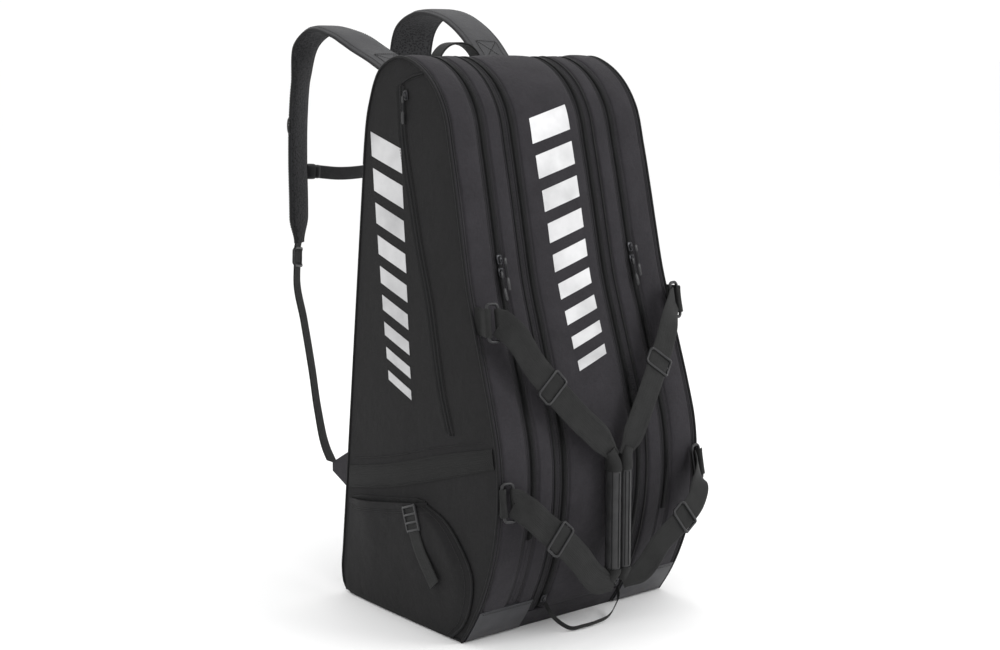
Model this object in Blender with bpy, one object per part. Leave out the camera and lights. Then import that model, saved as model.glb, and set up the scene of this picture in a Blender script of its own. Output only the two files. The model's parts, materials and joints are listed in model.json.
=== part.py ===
# Racket tournament bag: three zipped compartments side by side, shoulder straps on
# the back, two ring-hung carry handles on the front. Metres, +Z up. The origin is the
# centre of the flat base; the front faces -Y, the back panel +Y.
import math
import bmesh
import bpy
from mathutils import Vector

# ---- driving dimensions --------------------------------------------------------
HALF_W = 0.1815        # half width at the base
TAPER = 0.099          # share of the width lost per metre of height
HEIGHT = 0.765
ARC_Y, ARC_Z, ARC_R = 0.142, 0.215, 0.350   # belly arc of the lower front
WALL = 0.005           # padded wall
SEAM = 0.0842          # half width of the centre compartment
ZIP_X = 0.1225         # zips of the side compartments
FLAP_X = 0.0680        # zips of the centre flap
LIP = 0.0004           # half of the clearance between two zip lips
FOLD_Z = 0.178         # lower fold of a side cover
COVER_TOP_BACK = 0.655 # where a side cover's rim leaves the back
WEB_W, WEB_T = 0.038, 0.0018      # carry handle webbing
BAR_R = 0.0021                     # ring bar radius

scene = bpy.context.scene
for o in list(bpy.data.objects):
    bpy.data.objects.remove(o, do_unlink=True)

# ---- materials -----------------------------------------------------------------
MATS = {}


def material(name, rgb, rough, metal=0.0):
    m = bpy.data.materials.new(name)
    m.use_nodes = True
    b = m.node_tree.nodes.get("Principled BSDF")
    b.inputs["Base Color"].default_value = (rgb[0], rgb[1], rgb[2], 1.0)
    b.inputs["Roughness"].default_value = rough
    b.inputs["Metallic"].default_value = metal
    MATS[name] = m


material("shell_fabric", (0.022, 0.022, 0.024), 0.85)
material("coated_fabric", (0.060, 0.060, 0.068), 0.45)
material("webbing", (0.026, 0.026, 0.027), 0.75)
material("mesh_padding", (0.030, 0.030, 0.032), 0.95)
material("plastic", (0.012, 0.012, 0.013), 0.35)
material("zip_metal", (0.020, 0.020, 0.022), 0.30, 0.6)
material("grip_leather", (0.018, 0.018, 0.019), 0.50)
material("elastic", (0.030, 0.030, 0.030), 0.80)

# ---- helpers -------------------------------------------------------------------


def k(z):
    return 1.0 - TAPER * z


def make(name, verts, faces, mat, origin=(0, 0, 0)):
    me = bpy.data.meshes.new(name)
    o = Vector(origin)
    me.from_pydata([Vector(v) - o for v in verts], [], faces)
    bm = bmesh.new()
    bm.from_mesh(me)
    bmesh.ops.recalc_face_normals(bm, faces=bm.faces)
    bm.to_mesh(me)
    bm.free()
    ob = bpy.data.objects.new(name, me)
    ob.location = o
    scene.collection.objects.link(ob)
    me.materials.append(MATS[mat])
    return ob


def combine(target, cutter, op):
    """Boolean the target with the cutter and drop the cutter."""
    m = target.modifiers.new("cut", "BOOLEAN")
    m.operation = op
    m.object = cutter
    m.solver = "EXACT"
    bpy.context.view_layer.update()
    dg = bpy.context.evaluated_depsgraph_get()
    me = bpy.data.meshes.new_from_object(target.evaluated_get(dg))
    target.modifiers.clear()
    target.data = me
    bpy.data.objects.remove(cutter, do_unlink=True)
    return target


def spline(ctrl, per=4):
    """Catmull-Rom through the control points, any dimension."""
    pts = [Vector(p) for p in ctrl]
    pts = [pts[0] * 2 - pts[1]] + pts + [pts[-1] * 2 - pts[-2]]
    out = []
    for i in range(1, len(pts) - 2):
        a, b, c, d = pts[i - 1], pts[i], pts[i + 1], pts[i + 2]
        for j in range(per):
            t = j / per
            out.append(0.5 * (2 * b + (c - a) * t + (2 * a - 5 * b + 4 * c - d) * t * t
                              + (3 * b - a - 3 * c + d) * t ** 3))
    out.append(pts[-2])
    return out


# ---- side outline of the bag, (y, z), front base corner over the top to the back --
def arc_y(z):
    return ARC_Y - math.sqrt(ARC_R ** 2 - (z - ARC_Z) ** 2)


FRONT_KNEES = [(-0.2040, 0.265), (-0.1400, 0.470), (-0.0840, 0.700)]
CROWN = [(-0.0840, 0.700), (-0.0660, 0.726), (-0.0330, 0.752), (0.0100, HEIGHT),
         (0.0550, 0.749), (0.0810, 0.700), (0.0920, 0.640)]
BACK_LOW = (0.1475, 0.034)


def outline():
    pts = [(arc_y(z), z) for z in (0.0, 0.033, 0.066, 0.105, 0.145, 0.185, 0.225)]
    pts += FRONT_KNEES[:2]
    pts += [(p[0], p[1]) for p in spline([(a, b, 0) for a, b in CROWN], 3)]
    pts += [BACK_LOW, (0.143, 0.013), (0.128, 0.0)]
    return pts


OUT = outline()


def inset(poly, d):
    """Move a clockwise (y, z) outline inwards by d, mitred."""
    n = len(poly)
    res = []
    for i in range(n):
        p0, p1, p2 = (Vector(poly[j % n]) for j in (i - 1, i, i + 1))
        a, b = (p1 - p0).normalized(), (p2 - p1).normalized()
        na, nb = Vector((a.y, -a.x)), Vector((b.y, -b.x))
        m = (na + nb).normalized()
        res.append(tuple(p1 + m * (d / max(0.4, m.dot(na)))))
    return res


def front_y(z):
    """Outline's front at height z."""
    for (y0, z0), (y1, z1) in zip(OUT, OUT[1:]):
        if z0 <= z <= z1:
            return y0 + (y1 - y0) * (z - z0) / (z1 - z0)
    return OUT[0][0]


def back_y(z):
    t = (z - BACK_LOW[1]) / (CROWN[-1][1] - BACK_LOW[1])
    return BACK_LOW[0] + (CROWN[-1][0] - BACK_LOW[0]) * t


def prism(name, poly, xa, xb, mat="shell_fabric", offa=0.0, offb=0.0):
    n = len(poly)
    verts = [(xa * k(z) + offa, y, z) for y, z in poly]
    verts += [(xb * k(z) + offb, y, z) for y, z in poly]
    faces = [list(range(n)), list(range(2 * n - 1, n - 1, -1))]
    faces += [[i, i + n, (i + 1) % n + n, (i + 1) % n] for i in range(n)]
    return make(name, verts, faces, mat)


INNER = inset(OUT, WALL)


def tub(name, xa, xb):
    """Closed hollow compartment between two side planes."""
    lo, hi = min(xa, xb), max(xa, xb)
    s = prism(name, OUT, lo, hi)
    return combine(s, prism("cavity", INNER, lo + WALL, hi - WALL), "DIFFERENCE")


def loft(name, pts, wide, widths, thicks, mat, sides=4, close=False, origin=(0, 0, 0)):
    """Sweep a flat section along points; wide gives the width direction at each point."""
    pts = [Vector(p) for p in pts]
    n = len(pts)
    ring = []
    if sides == 4:
        prof = [(-1, -1), (1, -1), (1, 1), (-1, 1)]
    elif sides == 6:
        prof = [(-1, 0), (-0.82, -1), (0.82, -1), (1, 0), (0.82, 1), (-0.82, 1)]
    else:
        prof = [(math.cos(2 * math.pi * i / sides), math.sin(2 * math.pi * i / sides))
                for i in range(sides)]
    m = len(prof)
    verts = []
    for i, p in enumerate(pts):
        a = pts[(i - 1) % n] if (close or i > 0) else p
        b = pts[(i + 1) % n] if (close or i < n - 1) else p
        t = (b - a).normalized()
        w = Vector(wide[i] if isinstance(wide, list) else wide)
        w = (w - t * w.dot(t)).normalized()
        nn = t.cross(w)
        W = (widths[i] if isinstance(widths, list) else widths) / 2
        T = (thicks[i] if isinstance(thicks, list) else thicks) / 2
        verts += [p + w * (u * W) + nn * (v * T) for u, v in prof]
    faces = []
    for i in range(n if close else n - 1):
        j = (i + 1) % n
        faces += [[i * m + q, i * m + (q + 1) % m, j * m + (q + 1) % m, j * m + q] for q in range(m)]
    if not close:
        faces += [list(range(m))[::-1], [(n - 1) * m + q for q in range(m)]]
    return make(name, verts, faces, mat, origin)


def frame_at(c, along, normal):
    t = Vector(along).normalized()
    nn = Vector(normal)
    nn = (nn - t * nn.dot(t)).normalized()
    return Vector(c), t, t.cross(nn).normalized(), nn    # centre, along, across, normal


def brick(name, fr, lo, hi, mat, origin=(0, 0, 0)):
    """Box in a local frame; lo and hi are (along, across, normal)."""
    c, t, w, nn = fr
    v = [c + t * a + w * b + nn * d for a in (lo[0], hi[0]) for b in (lo[1], hi[1]) for d in (lo[2], hi[2])]
    f = [[0, 1, 3, 2], [4, 6, 7, 5], [0, 4, 5, 1], [2, 3, 7, 6], [0, 2, 6, 4], [1, 5, 7, 3]]
    return make(name, v, f, mat, origin)


def glide(name, fr, length, web, bars, mat="plastic", ease=0.0008):
    """Threaded strap slider: side rails, cross bars in front of or behind the webbing."""
    g = 0.0019
    o = fr[0]
    a = brick(name, fr, (-length / 2, web / 2 + ease, -g - 0.002), (length / 2, web / 2 + ease + 0.0034, g + 0.002), mat, o)
    combine(a, brick("r", fr, (-length / 2, -web / 2 - ease - 0.0034, -g - 0.002), (length / 2, -web / 2 - ease, g + 0.002), mat), "UNION")
    for pos, side, half in bars:
        lo = g if side > 0 else -g - 0.0018
        combine(a, brick("b", fr, (pos - half, -web / 2 - 0.003, lo), (pos + half, web / 2 + 0.003, lo + 0.0018), mat), "UNION")
    return a


def ring(name, fr, long, short, r, mat="plastic"):
    """Rectangular ring of round wire with rounded corners, lying in the along-across plane."""
    c, t, w, nn = fr
    path, cr = [], 0.005
    for sx, sy, a0 in ((1, 1, 0), (-1, 1, 90), (-1, -1, 180), (1, -1, 270)):
        for da in (0, 45, 90):
            a = math.radians(a0 + da)
            path.append(c + t * (sx * (long / 2 - cr) + cr * math.cos(a)) + w * (sy * (short / 2 - cr) + cr * math.sin(a)))
    return loft(name, path, [nn] * len(path), 2 * r, 2 * r, mat, sides=8, close=True, origin=c)


def eye_path(bar, toward, normal, r, start=200, end=-70, steps=7):
    """Points of a webbing loop round a bar; toward is the way the webbing leaves."""
    a, b = Vector(toward).normalized(), Vector(normal).normalized()
    return [Vector(bar) + a * (r * math.cos(math.radians(s))) + b * (r * math.sin(math.radians(s)))
            for s in [start + (end - start) * i / (steps - 1) for i in range(steps)]]


# ---- compartments --------------------------------------------------------------
def cover_region(grow):
    zl = FOLD_Z - grow
    dy = 0.006 - grow
    return [(-0.30, zl), (-0.30, 0.90), (0.20, 0.90), (0.20, COVER_TOP_BACK - grow),
            (back_y(COVER_TOP_BACK) - dy, COVER_TOP_BACK - grow), (back_y(zl) - dy, zl)]


for side, s in (("left", -1), ("right", 1)):
    t = tub(side + "_compartment_tub", s * (SEAM + 0.0006), s * HALF_W)
    combine(t, prism("cut", cover_region(LIP), s * (ZIP_X - LIP), s * 0.4), "DIFFERENCE")
    c = tub(side + "_side_cover", s * (SEAM + 0.0006), s * HALF_W)
    combine(c, prism("cut", cover_region(0.0), s * (ZIP_X + LIP), s * 0.4), "INTERSECT")

FLAP_LOW = 0.026
FLAP_TOP = (-0.0420, 0.7455)


def flap_region(grow):
    d = Vector((0.62, -0.78))           # inward normal of the crown at the flap's top
    u = Vector((0.78, 0.62)) * grow
    top_out, top_in = Vector(FLAP_TOP) - d * 0.06 + u, Vector(FLAP_TOP) + d * 0.022 + u
    return [(-0.30, FLAP_LOW - grow), (-0.30, 0.90), (top_out.x - 0.05, 0.90), tuple(top_out), tuple(top_in),
            (-0.060, 0.640), (-0.100, 0.500), (-0.150, 0.290), (-0.150, 0.140), (-0.120, FLAP_LOW - grow)]


t = tub("centre_compartment_tub", -SEAM, SEAM)
combine(t, prism("cut", flap_region(LIP), -FLAP_X - LIP, FLAP_X + LIP), "DIFFERENCE")
f = tub("centre_front_flap", -SEAM, SEAM)
combine(f, prism("cut", flap_region(0.0), -FLAP_X + LIP, FLAP_X - LIP), "INTERSECT")

# ---- coated toe patches at the foot of the two side gussets ------------------------
toe_out = [(arc_y(z) - 0.0016, z) for z in (0.004, 0.02, 0.035, 0.05)]
toe_in = [(arc_y(z) - 0.0005, z) for z in (0.05, 0.035, 0.02, 0.004)]
for side, s in (("left", -1), ("right", 1)):
    prism(side + "_toe_patch", toe_out + toe_in, s * (SEAM + 0.003), s * (HALF_W - 0.003), "coated_fabric")

# ---- padded back panel -----------------------------------------------------------
pad_z = [0.075, 0.095, 0.62, 0.645]
pad_t = [0.0025, 0.010, 0.010, 0.0025]
prof = [(back_y(z) + 0.0006, z) for z in pad_z] + [(back_y(z) + 0.0006 + e, z) for z, e in zip(pad_z[::-1], pad_t)]
prism("back_panel_pad", prof, -0.150, 0.150, "mesh_padding")
# yoke strip that the shoulder straps are sewn to
prism("strap_yoke", [(0.0926, 0.650), (0.0845, 0.697), (0.0885, 0.7005), (0.0985, 0.650)], -0.135, 0.135, "webbing")

# ---- side pockets: a pouch open at its top edge, and the stiff band above ----------
POCKET = [(0.118, 0.012), (0.118, 0.137), (-0.015, 0.164), (-0.094, 0.176), (-0.138, 0.136),
          (-0.166, 0.085), (-0.148, 0.030), (-0.128, 0.012)]
SLOT = [(0.112, 0.020), (0.112, 0.30), (-0.094, 0.30), (-0.096, 0.168), (-0.132, 0.131),
        (-0.157, 0.085), (-0.141, 0.034), (-0.124, 0.020)]


def on_side(name, poly, s, near, far, mat):
    return prism(name, poly, s * HALF_W, s * HALF_W, mat, offa=s * near, offb=s * far)


for side, s in (("left", -1), ("right", 1)):
    p = on_side(side + "_side_pocket", POCKET, s, 0.0006, 0.0106, "shell_fabric")
    combine(p, on_side("slot", SLOT, s, 0.0022, 0.0086, "shell_fabric"), "DIFFERENCE")

# The band crosses the lower fold of the cover, so it is sewn to the cover only above it.
BAND = [(0.112, 0.183), (0.112, 0.203), (-0.193, 0.274), (-0.203, 0.249), (-0.05, 0.212), (0.04, 0.187), (0.06, 0.183)]
for side, s in (("left", -1), ("right", 1)):
    on_side(side + "_side_band", BAND, s, 0.0006, 0.0020, "webbing")


# ---- ladder buckle and its webbing on the left pocket ------------------------------
def side_point(s, y, z, off):
    return Vector((s * (HALF_W * k(z) + off), y, z))


lb = frame_at(side_point(-1, -0.043, 0.1525, 0.0150), (0, -0.34, -0.94), (-1, 0, -0.02))
glide("ladder_buckle", lb, 0.036, 0.024, ((-0.0162, 1, 0.0015), (0.0, -1, 0.0015), (0.0162, 1, 0.0015)))
bs = [side_point(-1, -0.0369, 0.1693, 0.0150), side_point(-1, -0.043, 0.1525, 0.0150), side_point(-1, -0.0495, 0.1345, 0.0150),
      side_point(-1, -0.060, 0.116, 0.0148), side_point(-1, -0.080, 0.092, 0.0144), side_point(-1, -0.097, 0.073, 0.0140)]
loft("ladder_buckle_webbing", bs, [(0, 0.94, -0.34)] * 3 + [(0, 0.88, -0.47), (0, 0.8, -0.6), (0, 0.72, -0.69)], 0.024, 0.0016, "webbing")

# ---- carry handles ---------------------------------------------------------------
# Each side has two rings whose outer bars lie on one line, the line the handle swings on.
AXIS_UP = Vector((0.1540, -0.1800, 0.4320))
AXIS_LOW = Vector((0.1620, -0.2210, 0.2070))


def mirror(p, s):
    return Vector((s * p[0], p[1], p[2]))


def handle(side, s):
    up, low = mirror(AXIS_UP, s), mirror(AXIS_LOW, s)
    bar = (up - low).normalized()
    for nm, c in (("upper", up), ("lower", low)):
        # the ring leans from the seam towards the middle of the front
        inward = Vector((-s, 0.10, 0)).normalized()
        inward = (inward - bar * inward.dot(bar)).normalized()
        seat = c - inward * 0.0155 + Vector((0, 0.0045, 0))
        leg = (c - seat).normalized()
        fr = frame_at((c + seat) / 2, bar, bar.cross(leg))
        ring(side + "_" + nm + "_ring", fr, WEB_W + 0.013, (c - seat).length + 0.0, BAR_R)
        # tab: webbing sewn to the cover's edge, looped round the ring's seam-side bar
        z = seat.z
        root = Vector((s * (HALF_W * k(z) - 0.0035), front_y(z) - 0.0052, z))
        away = (root - seat).normalized()
        nrm = bar.cross(away) * (1 if bar.cross(away).y < 0 else -1)
        eye = eye_path(seat, away, nrm, BAR_R + 0.0008 + 0.0007, start=275, end=80, steps=9)
        loft(side + "_" + nm + "_ring_tab", eye + [root], bar, WEB_W - 0.006, 0.0014, "webbing")
    return up, low, bar


def strap(name, s, start, bar, ctrl, wide, way, end_w=0.020):
    """Webbing from a loop round the ring bar, along control points, to the grip."""
    way = mirror(way, s)
    way = (way - bar * way.dot(bar)).normalized()
    nrm = bar.cross(way)
    if nrm.y > 0:
        nrm = -nrm
    eye = eye_path(start, way, nrm, BAR_R + 0.0008 + WEB_T / 2, start=290, end=80, steps=9)
    pts = [mirror(p, s) for p in ctrl]
    mid = [Vector(p) for p in spline([eye[-1]] + pts, 3)][1:]
    wv = [Vector(w) for w in spline([bar] + [mirror(w, s) for w in wide], 3)][1:]
    # keep every width vector on one side of the strap
    wv = [w if w.dot(bar) > 0 else -w for w in wv]
    n = len(mid)
    widths = [WEB_W - 0.004] * len(eye) + [WEB_W if i < n - 4 else WEB_W + (end_w - WEB_W) * (i - n + 5) / 4 for i in range(n)]
    widths[len(eye):len(eye) + 3] = [0.025, 0.026, 0.031]    # bunched where it turns down from the bar
    return loft(name, eye + mid, [bar] * len(eye) + wv, widths, WEB_T, "webbing")


GRIP_TOP, GRIP_LOW = 0.232, 0.082
GRIP_Y = -0.2270
GRIP_C = 0.0130        # the two grip halves meet a little right of the middle
HALF_GRIP = 0.0062

# control points are given for a handle on +X, and mirrored
UP_L = [(0.1405, -0.1935, 0.418), (0.115, -0.2045, 0.376), (0.0905, -0.211, 0.345), (0.055, -0.2225, 0.303), (0.014, -0.2275, 0.264), (-0.005, -0.228, 0.2410)]
UP_R = [(0.1400, -0.1935, 0.418), (0.121, -0.203, 0.385), (0.1015, -0.2095, 0.356), (0.065, -0.221, 0.305), (0.037, -0.227, 0.264), (0.021, -0.228, 0.2410)]
W_UP = [(-0.25, 0.15, 0.95), (-0.52, 0.1, 0.82), (-0.63, 0.1, 0.76), (-0.70, 0.08, 0.70), (-0.90, 0.05, 0.42), (-1.0, 0.0, 0.05)]
LO_L = [(0.1465, -0.2365, 0.192), (0.126, -0.2410, 0.172), (0.103, -0.2420, 0.153), (0.068, -0.2400, 0.120), (0.030, -0.2340, 0.081), (-0.005, -0.2290, 0.0660)]
LO_R = [(0.1515, -0.2430, 0.198), (0.1400, -0.2500, 0.168), (0.1120, -0.2530, 0.146), (0.075, -0.2480, 0.117), (0.049, -0.2370, 0.079), (0.021, -0.2290, 0.0660)]
W_LO = [(-0.30, 0.1, 0.95), (-0.56, 0.05, 0.82), (-0.62, 0.0, 0.78), (-0.64, 0.0, 0.77), (-0.58, 0.0, 0.81), (-0.50, 0.0, 0.86)]

for side, s, ups, los in (("left", -1, UP_L, LO_L), ("right", 1, UP_R, LO_R)):
    up, low, bar = handle(side, s)
    strap(side + "_handle_upper_webbing", s, up, bar, ups, W_UP, (-1, -0.4, 0))
    strap(side + "_handle_lower_webbing", s, low, bar, los, W_LO, (-1, -0.7, 0))
    for nm, ctrl, wd in (("upper", ups, W_UP), ("lower", los, W_LO)):
        a, b, c2 = (mirror(ctrl[i], s) for i in (1, 2, 3))
        t = (c2 - a).normalized()
        w = mirror(wd[2], s)
        fr = frame_at(b, t, t.cross((w - t * w.dot(t)).normalized()))
        if fr[3].y > 0:
            fr = (fr[0], fr[1], -fr[2], -fr[3])
        glide(side + "_" + nm + "_tri_glide", fr, 0.030, WEB_W, ((-0.0130, 1, 0.0017), (0.0, -1, 0.0016), (0.0130, 1, 0.0017)), ease=0.0019)
    x = GRIP_C + s * (HALF_GRIP + 0.0018)
    zs = [GRIP_LOW, GRIP_LOW + 0.006, GRIP_TOP - 0.006, GRIP_TOP]
    loft(side + "_grip", [(x, GRIP_Y, z) for z in zs], (1, 0, 0), [0.008, 2 * HALF_GRIP, 2 * HALF_GRIP, 0.008],
         [0.012, 0.019, 0.019, 0.012], "grip_leather", sides=6)


# ---- zip sliders and pullers -------------------------------------------------------
def slope_frame(x0, z, off, y0z0, y1z1):
    """Frame on the sloping front: centre, along (upwards), across, outward normal."""
    (y0, z0), (y1, z1) = y0z0, y1z1
    a = Vector((x0 * k(z0), y0, z0))
    b = Vector((x0 * k(z1), y1, z1))
    t = (b - a).normalized()
    p = a + (b - a) * ((z - z0) / (z1 - z0))
    n = Vector((0, -t.z, t.y)).normalized()
    return frame_at(p + n * off, t, n)


def slider(name, fr):
    return brick(name, fr, (-0.0065, -0.0045, 0), (0.0065, 0.0045, 0.0050), "zip_metal", fr[0])


def puller(name, fr, dx, lift, length, drop):
    """Pull tab on a short cord, hanging down the front from the slider's bail."""
    c, t, w, nn = fr
    top = c + w * dx + nn * lift - t * drop
    pts = [top + t * 0.001, top - t * 0.004, top - t * (length - 0.018), top - t * (length - 0.015), top - t * length]
    return loft(name, pts, w, [0.0046, 0.0030, 0.0030, 0.0048, 0.0042], [0.0022, 0.0020, 0.0020, 0.0028, 0.0022],
                "webbing", origin=top)


UPPER = (FRONT_KNEES[1], FRONT_KNEES[2])
LOWER = (FRONT_KNEES[0], FRONT_KNEES[1])
for side, s in (("left", -1), ("right", 1)):
    fu = slope_frame(s * ZIP_X, 0.5050, 0.0016, *UPPER)
    slider(side + "_zip_slider_upper", fu)
    puller(side + "_zip_puller_upper", fu, 0.0029, 0.0100, 0.042, 0.000)
    fl = slope_frame(s * ZIP_X, 0.4880, 0.0016, *UPPER)
    fl = (fl[0], slope_frame(s * ZIP_X, 0.40, 0.0016, *LOWER)[1], fl[2], fl[3])
    fl = frame_at(fl[0], fl[1], fl[3])
    slider(side + "_zip_slider_lower", fl)
    puller(side + "_zip_puller_lower", fl, -0.0029, 0.0066, 0.038, 0.000)

# side pocket zip on the left cover
PZ_TOP, PZ_LOW = (-0.0040, 0.727), (-0.0800, 0.395)
a, b = side_point(-1, PZ_LOW[0], PZ_LOW[1], 0.0014), side_point(-1, PZ_TOP[0], PZ_TOP[1], 0.0014)
pz = b + (a - b) * 0.035
sf = frame_at(pz, b - a, (-1, 0, -0.018))
slider("left_pocket_zip_slider", sf)
cdir = frame_at(sf[0], (0, 0.02, 1), (-1, 0, -0.018))
puller("left_pocket_zip_puller", cdir, 0.0, 0.0068, 0.036, 0.002)


# centre sliders at the foot of the flap, joined by a hanging webbing tape
def arc_frame(x0, z, off):
    n = Vector((0, arc_y(z) - ARC_Y, z - ARC_Z)).normalized()
    t = Vector((0, -n.z, n.y))
    t = -t if t.z < 0 else t
    return frame_at(Vector((x0 * k(z), arc_y(z), z)) + n * off, t, n)


cl = arc_frame(-FLAP_X, 0.048, 0.0016)
cr = arc_frame(FLAP_X, 0.042, 0.0016)
slider("centre_zip_slider_left", cl)
slider("centre_zip_slider_right", cr)
TAPE_W, TAPE_T = 0.0060, 0.0014
tl = cl[0] + cl[3] * 0.0054 + Vector((0, -0.0008, -0.004))
tr = cr[0] + cr[3] * 0.0054 + Vector((0, -0.0008, -0.004))
tape = spline([tl, tl + Vector((0.002, -0.0085, -0.012)), (-0.054, -0.184, 0.0150), (-0.040, -0.1925, 0.0050), (-0.020, -0.1965, 0.0048),
               (0.006, -0.1960, 0.0050), (0.030, -0.1920, 0.0065), (0.050, -0.1830, 0.0135), tr + Vector((-0.005, -0.0075, -0.011)), tr], 3)
loft("linking_tape", tape, [(0.2, -0.4, 0.9)] * len(tape), TAPE_W, TAPE_T, "webbing")

# ---- shoulder straps ---------------------------------------------------------------
# the left one is written out; the right one arches a little higher
LEFT_PAD = [(-0.086, 0.104, 0.733), (-0.089, 0.140, 0.754), (-0.091, 0.188, 0.773), (-0.098, 0.245, 0.797), (-0.105, 0.297, 0.803),
            (-0.112, 0.327, 0.783), (-0.117, 0.338, 0.730), (-0.121, 0.341, 0.672), (-0.125, 0.338, 0.612), (-0.128, 0.333, 0.552), (-0.130, 0.331, 0.488)]
RIGHT_PAD = [(0.086, 0.104, 0.733), (0.090, 0.134, 0.759), (0.095, 0.176, 0.793), (0.100, 0.240, 0.824), (0.106, 0.313, 0.830),
             (0.112, 0.362, 0.806), (0.117, 0.385, 0.742), (0.121, 0.386, 0.680), (0.125, 0.378, 0.612), (0.128, 0.362, 0.552), (0.130, 0.346, 0.488)]
LOCK = (0.131, 0.336, 0.4660)
WEB_DOWN = [(0.1350, 0.332, 0.431), (0.1400, 0.306, 0.373), (0.1480, 0.273, 0.303), (0.1550, 0.248, 0.247), (0.1640, 0.213, 0.197)]
for side, s, ctrl in (("left", -1, LEFT_PAD), ("right", 1, RIGHT_PAD)):
    pts = spline(ctrl, 2)
    n = len(pts)
    turn = [min(1.0, max(0.0, (i / (n - 1) - 0.25) / 0.3)) for i in range(n)]
    wide = [Vector((math.cos(0.62 * q), -s * math.sin(0.62 * q), 0)) for q in turn]
    widths = [0.064 if i < n - 3 else (0.058, 0.044, 0.030)[i - n + 3] for i in range(n)]
    thicks = [0.006 if i == 0 else 0.0125 if i < n - 2 else (0.010, 0.006)[i - n + 2] for i in range(n)]
    loft(side + "_shoulder_strap", pts, wide, widths, thicks, "mesh_padding", sides=6)
    w0 = Vector((math.cos(0.62), -s * math.sin(0.62), 0))
    lock = mirror(LOCK, s)
    down = (mirror(WEB_DOWN[0], s) - lock).normalized()
    fr = frame_at(lock, down, down.cross(w0))
    glide(side + "_ladder_lock", fr, 0.030, 0.025, ((-0.0130, 1, 0.0017), (0.0025, -1, 0.0016), (0.0130, 1, 0.0017)))
    web = spline([lock - down * 0.010, lock, lock + down * 0.016] + [mirror(p, s) for p in WEB_DOWN], 2)
    loft(side + "_strap_webbing", web, [w0] * len(web), 0.025, 0.0016, "webbing")
    # anchor: a folded triangle sewn into the back seam
    z0, z1 = 0.150, 0.208
    x = s * 0.168
    tri = [(back_y(z0) + 0.0006, z0), (back_y(z1) + 0.0006, z1), (0.186, 0.181), (0.188, 0.168)]
    verts = [(x + e * 0.0018 + s * 0.0035 * (1 - (y - 0.13) / 0.05), y, z) for e in (-1, 1) for y, z in tri]
    make(side + "_strap_anchor", verts, [[0, 1, 2, 3], [7, 6, 5, 4], [0, 4, 5, 1], [1, 5, 6, 2], [2, 6, 7, 3], [3, 7, 4, 0]], "webbing")

# sternum strap: a rail slider and webbing on each shoulder strap, a side-release buckle
STERN_L = Vector((-0.1094, 0.3594, 0.598))
STERN_R = Vector((0.1020, 0.4040, 0.598))
loft("sternum_webbing_left", [STERN_L + Vector((0.000, 0.0, 0)), (-0.1052, 0.3601, 0.5968), (-0.1005, 0.3605, 0.5945)], (0, 0, 1), 0.020, 0.0016, "elastic")
fb = frame_at((-0.088, 0.3610, 0.592), (1, 0.01, -0.06), (0, 1, 0))
brick("sternum_buckle_female", fb, (-0.0085, -0.0120, -0.0045), (0.0060, 0.0120, 0.0045), "plastic", fb[0])
brick("sternum_buckle_male", fb, (0.0066, -0.0105, -0.0040), (0.0160, 0.0105, 0.0040), "plastic", fb[0])
sr = spline([(-0.0712, 0.3610, 0.591), (-0.040, 0.363, 0.587), (0.000, 0.371, 0.586), (0.050, 0.386, 0.589), (0.080, 0.397, 0.594), STERN_R], 2)
loft("sternum_webbing_right", sr, (0, 0, 1), 0.020, 0.0016, "elastic")

# ---- grab handle: a webbing bail at the top of the back ------------------------------
gh = [(-0.041, 0.1050, 0.700), (-0.041, 0.1080, 0.740), (-0.035, 0.1090, 0.766), (-0.018, 0.1095, 0.7815), (0.0, 0.1095, 0.7845),
      (0.018, 0.1095, 0.7815), (0.035, 0.1090, 0.766), (0.041, 0.1080, 0.740), (0.041, 0.1050, 0.700)]
loft("grab_handle", spline(gh, 2), (0, 1, 0), 0.024, 0.0030, "webbing")
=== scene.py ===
# Racket tournament bag: the looks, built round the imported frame. Metres, +Z up, front faces -Y.
import json
import math

import bmesh
import bpy
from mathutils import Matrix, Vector, noise

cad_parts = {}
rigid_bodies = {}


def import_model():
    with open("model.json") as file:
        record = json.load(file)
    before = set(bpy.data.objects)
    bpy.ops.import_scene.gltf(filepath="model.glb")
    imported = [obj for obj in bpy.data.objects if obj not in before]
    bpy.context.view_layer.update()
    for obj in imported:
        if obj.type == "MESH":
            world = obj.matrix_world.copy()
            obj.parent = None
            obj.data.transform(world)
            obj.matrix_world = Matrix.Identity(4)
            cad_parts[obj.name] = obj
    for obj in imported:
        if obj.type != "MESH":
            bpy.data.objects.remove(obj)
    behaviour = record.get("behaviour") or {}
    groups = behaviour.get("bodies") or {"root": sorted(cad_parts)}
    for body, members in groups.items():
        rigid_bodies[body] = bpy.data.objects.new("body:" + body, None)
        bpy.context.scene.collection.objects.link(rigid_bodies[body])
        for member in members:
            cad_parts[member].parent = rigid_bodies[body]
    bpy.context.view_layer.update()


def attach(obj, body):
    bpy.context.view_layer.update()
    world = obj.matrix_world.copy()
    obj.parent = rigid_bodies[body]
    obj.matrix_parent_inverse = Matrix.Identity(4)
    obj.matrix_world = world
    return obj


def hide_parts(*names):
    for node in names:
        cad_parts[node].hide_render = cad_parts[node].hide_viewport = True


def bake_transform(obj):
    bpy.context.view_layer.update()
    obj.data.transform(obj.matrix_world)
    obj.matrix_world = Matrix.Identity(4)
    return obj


for o in list(bpy.data.objects):
    bpy.data.objects.remove(o, do_unlink=True)
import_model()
scene = bpy.context.scene

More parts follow.
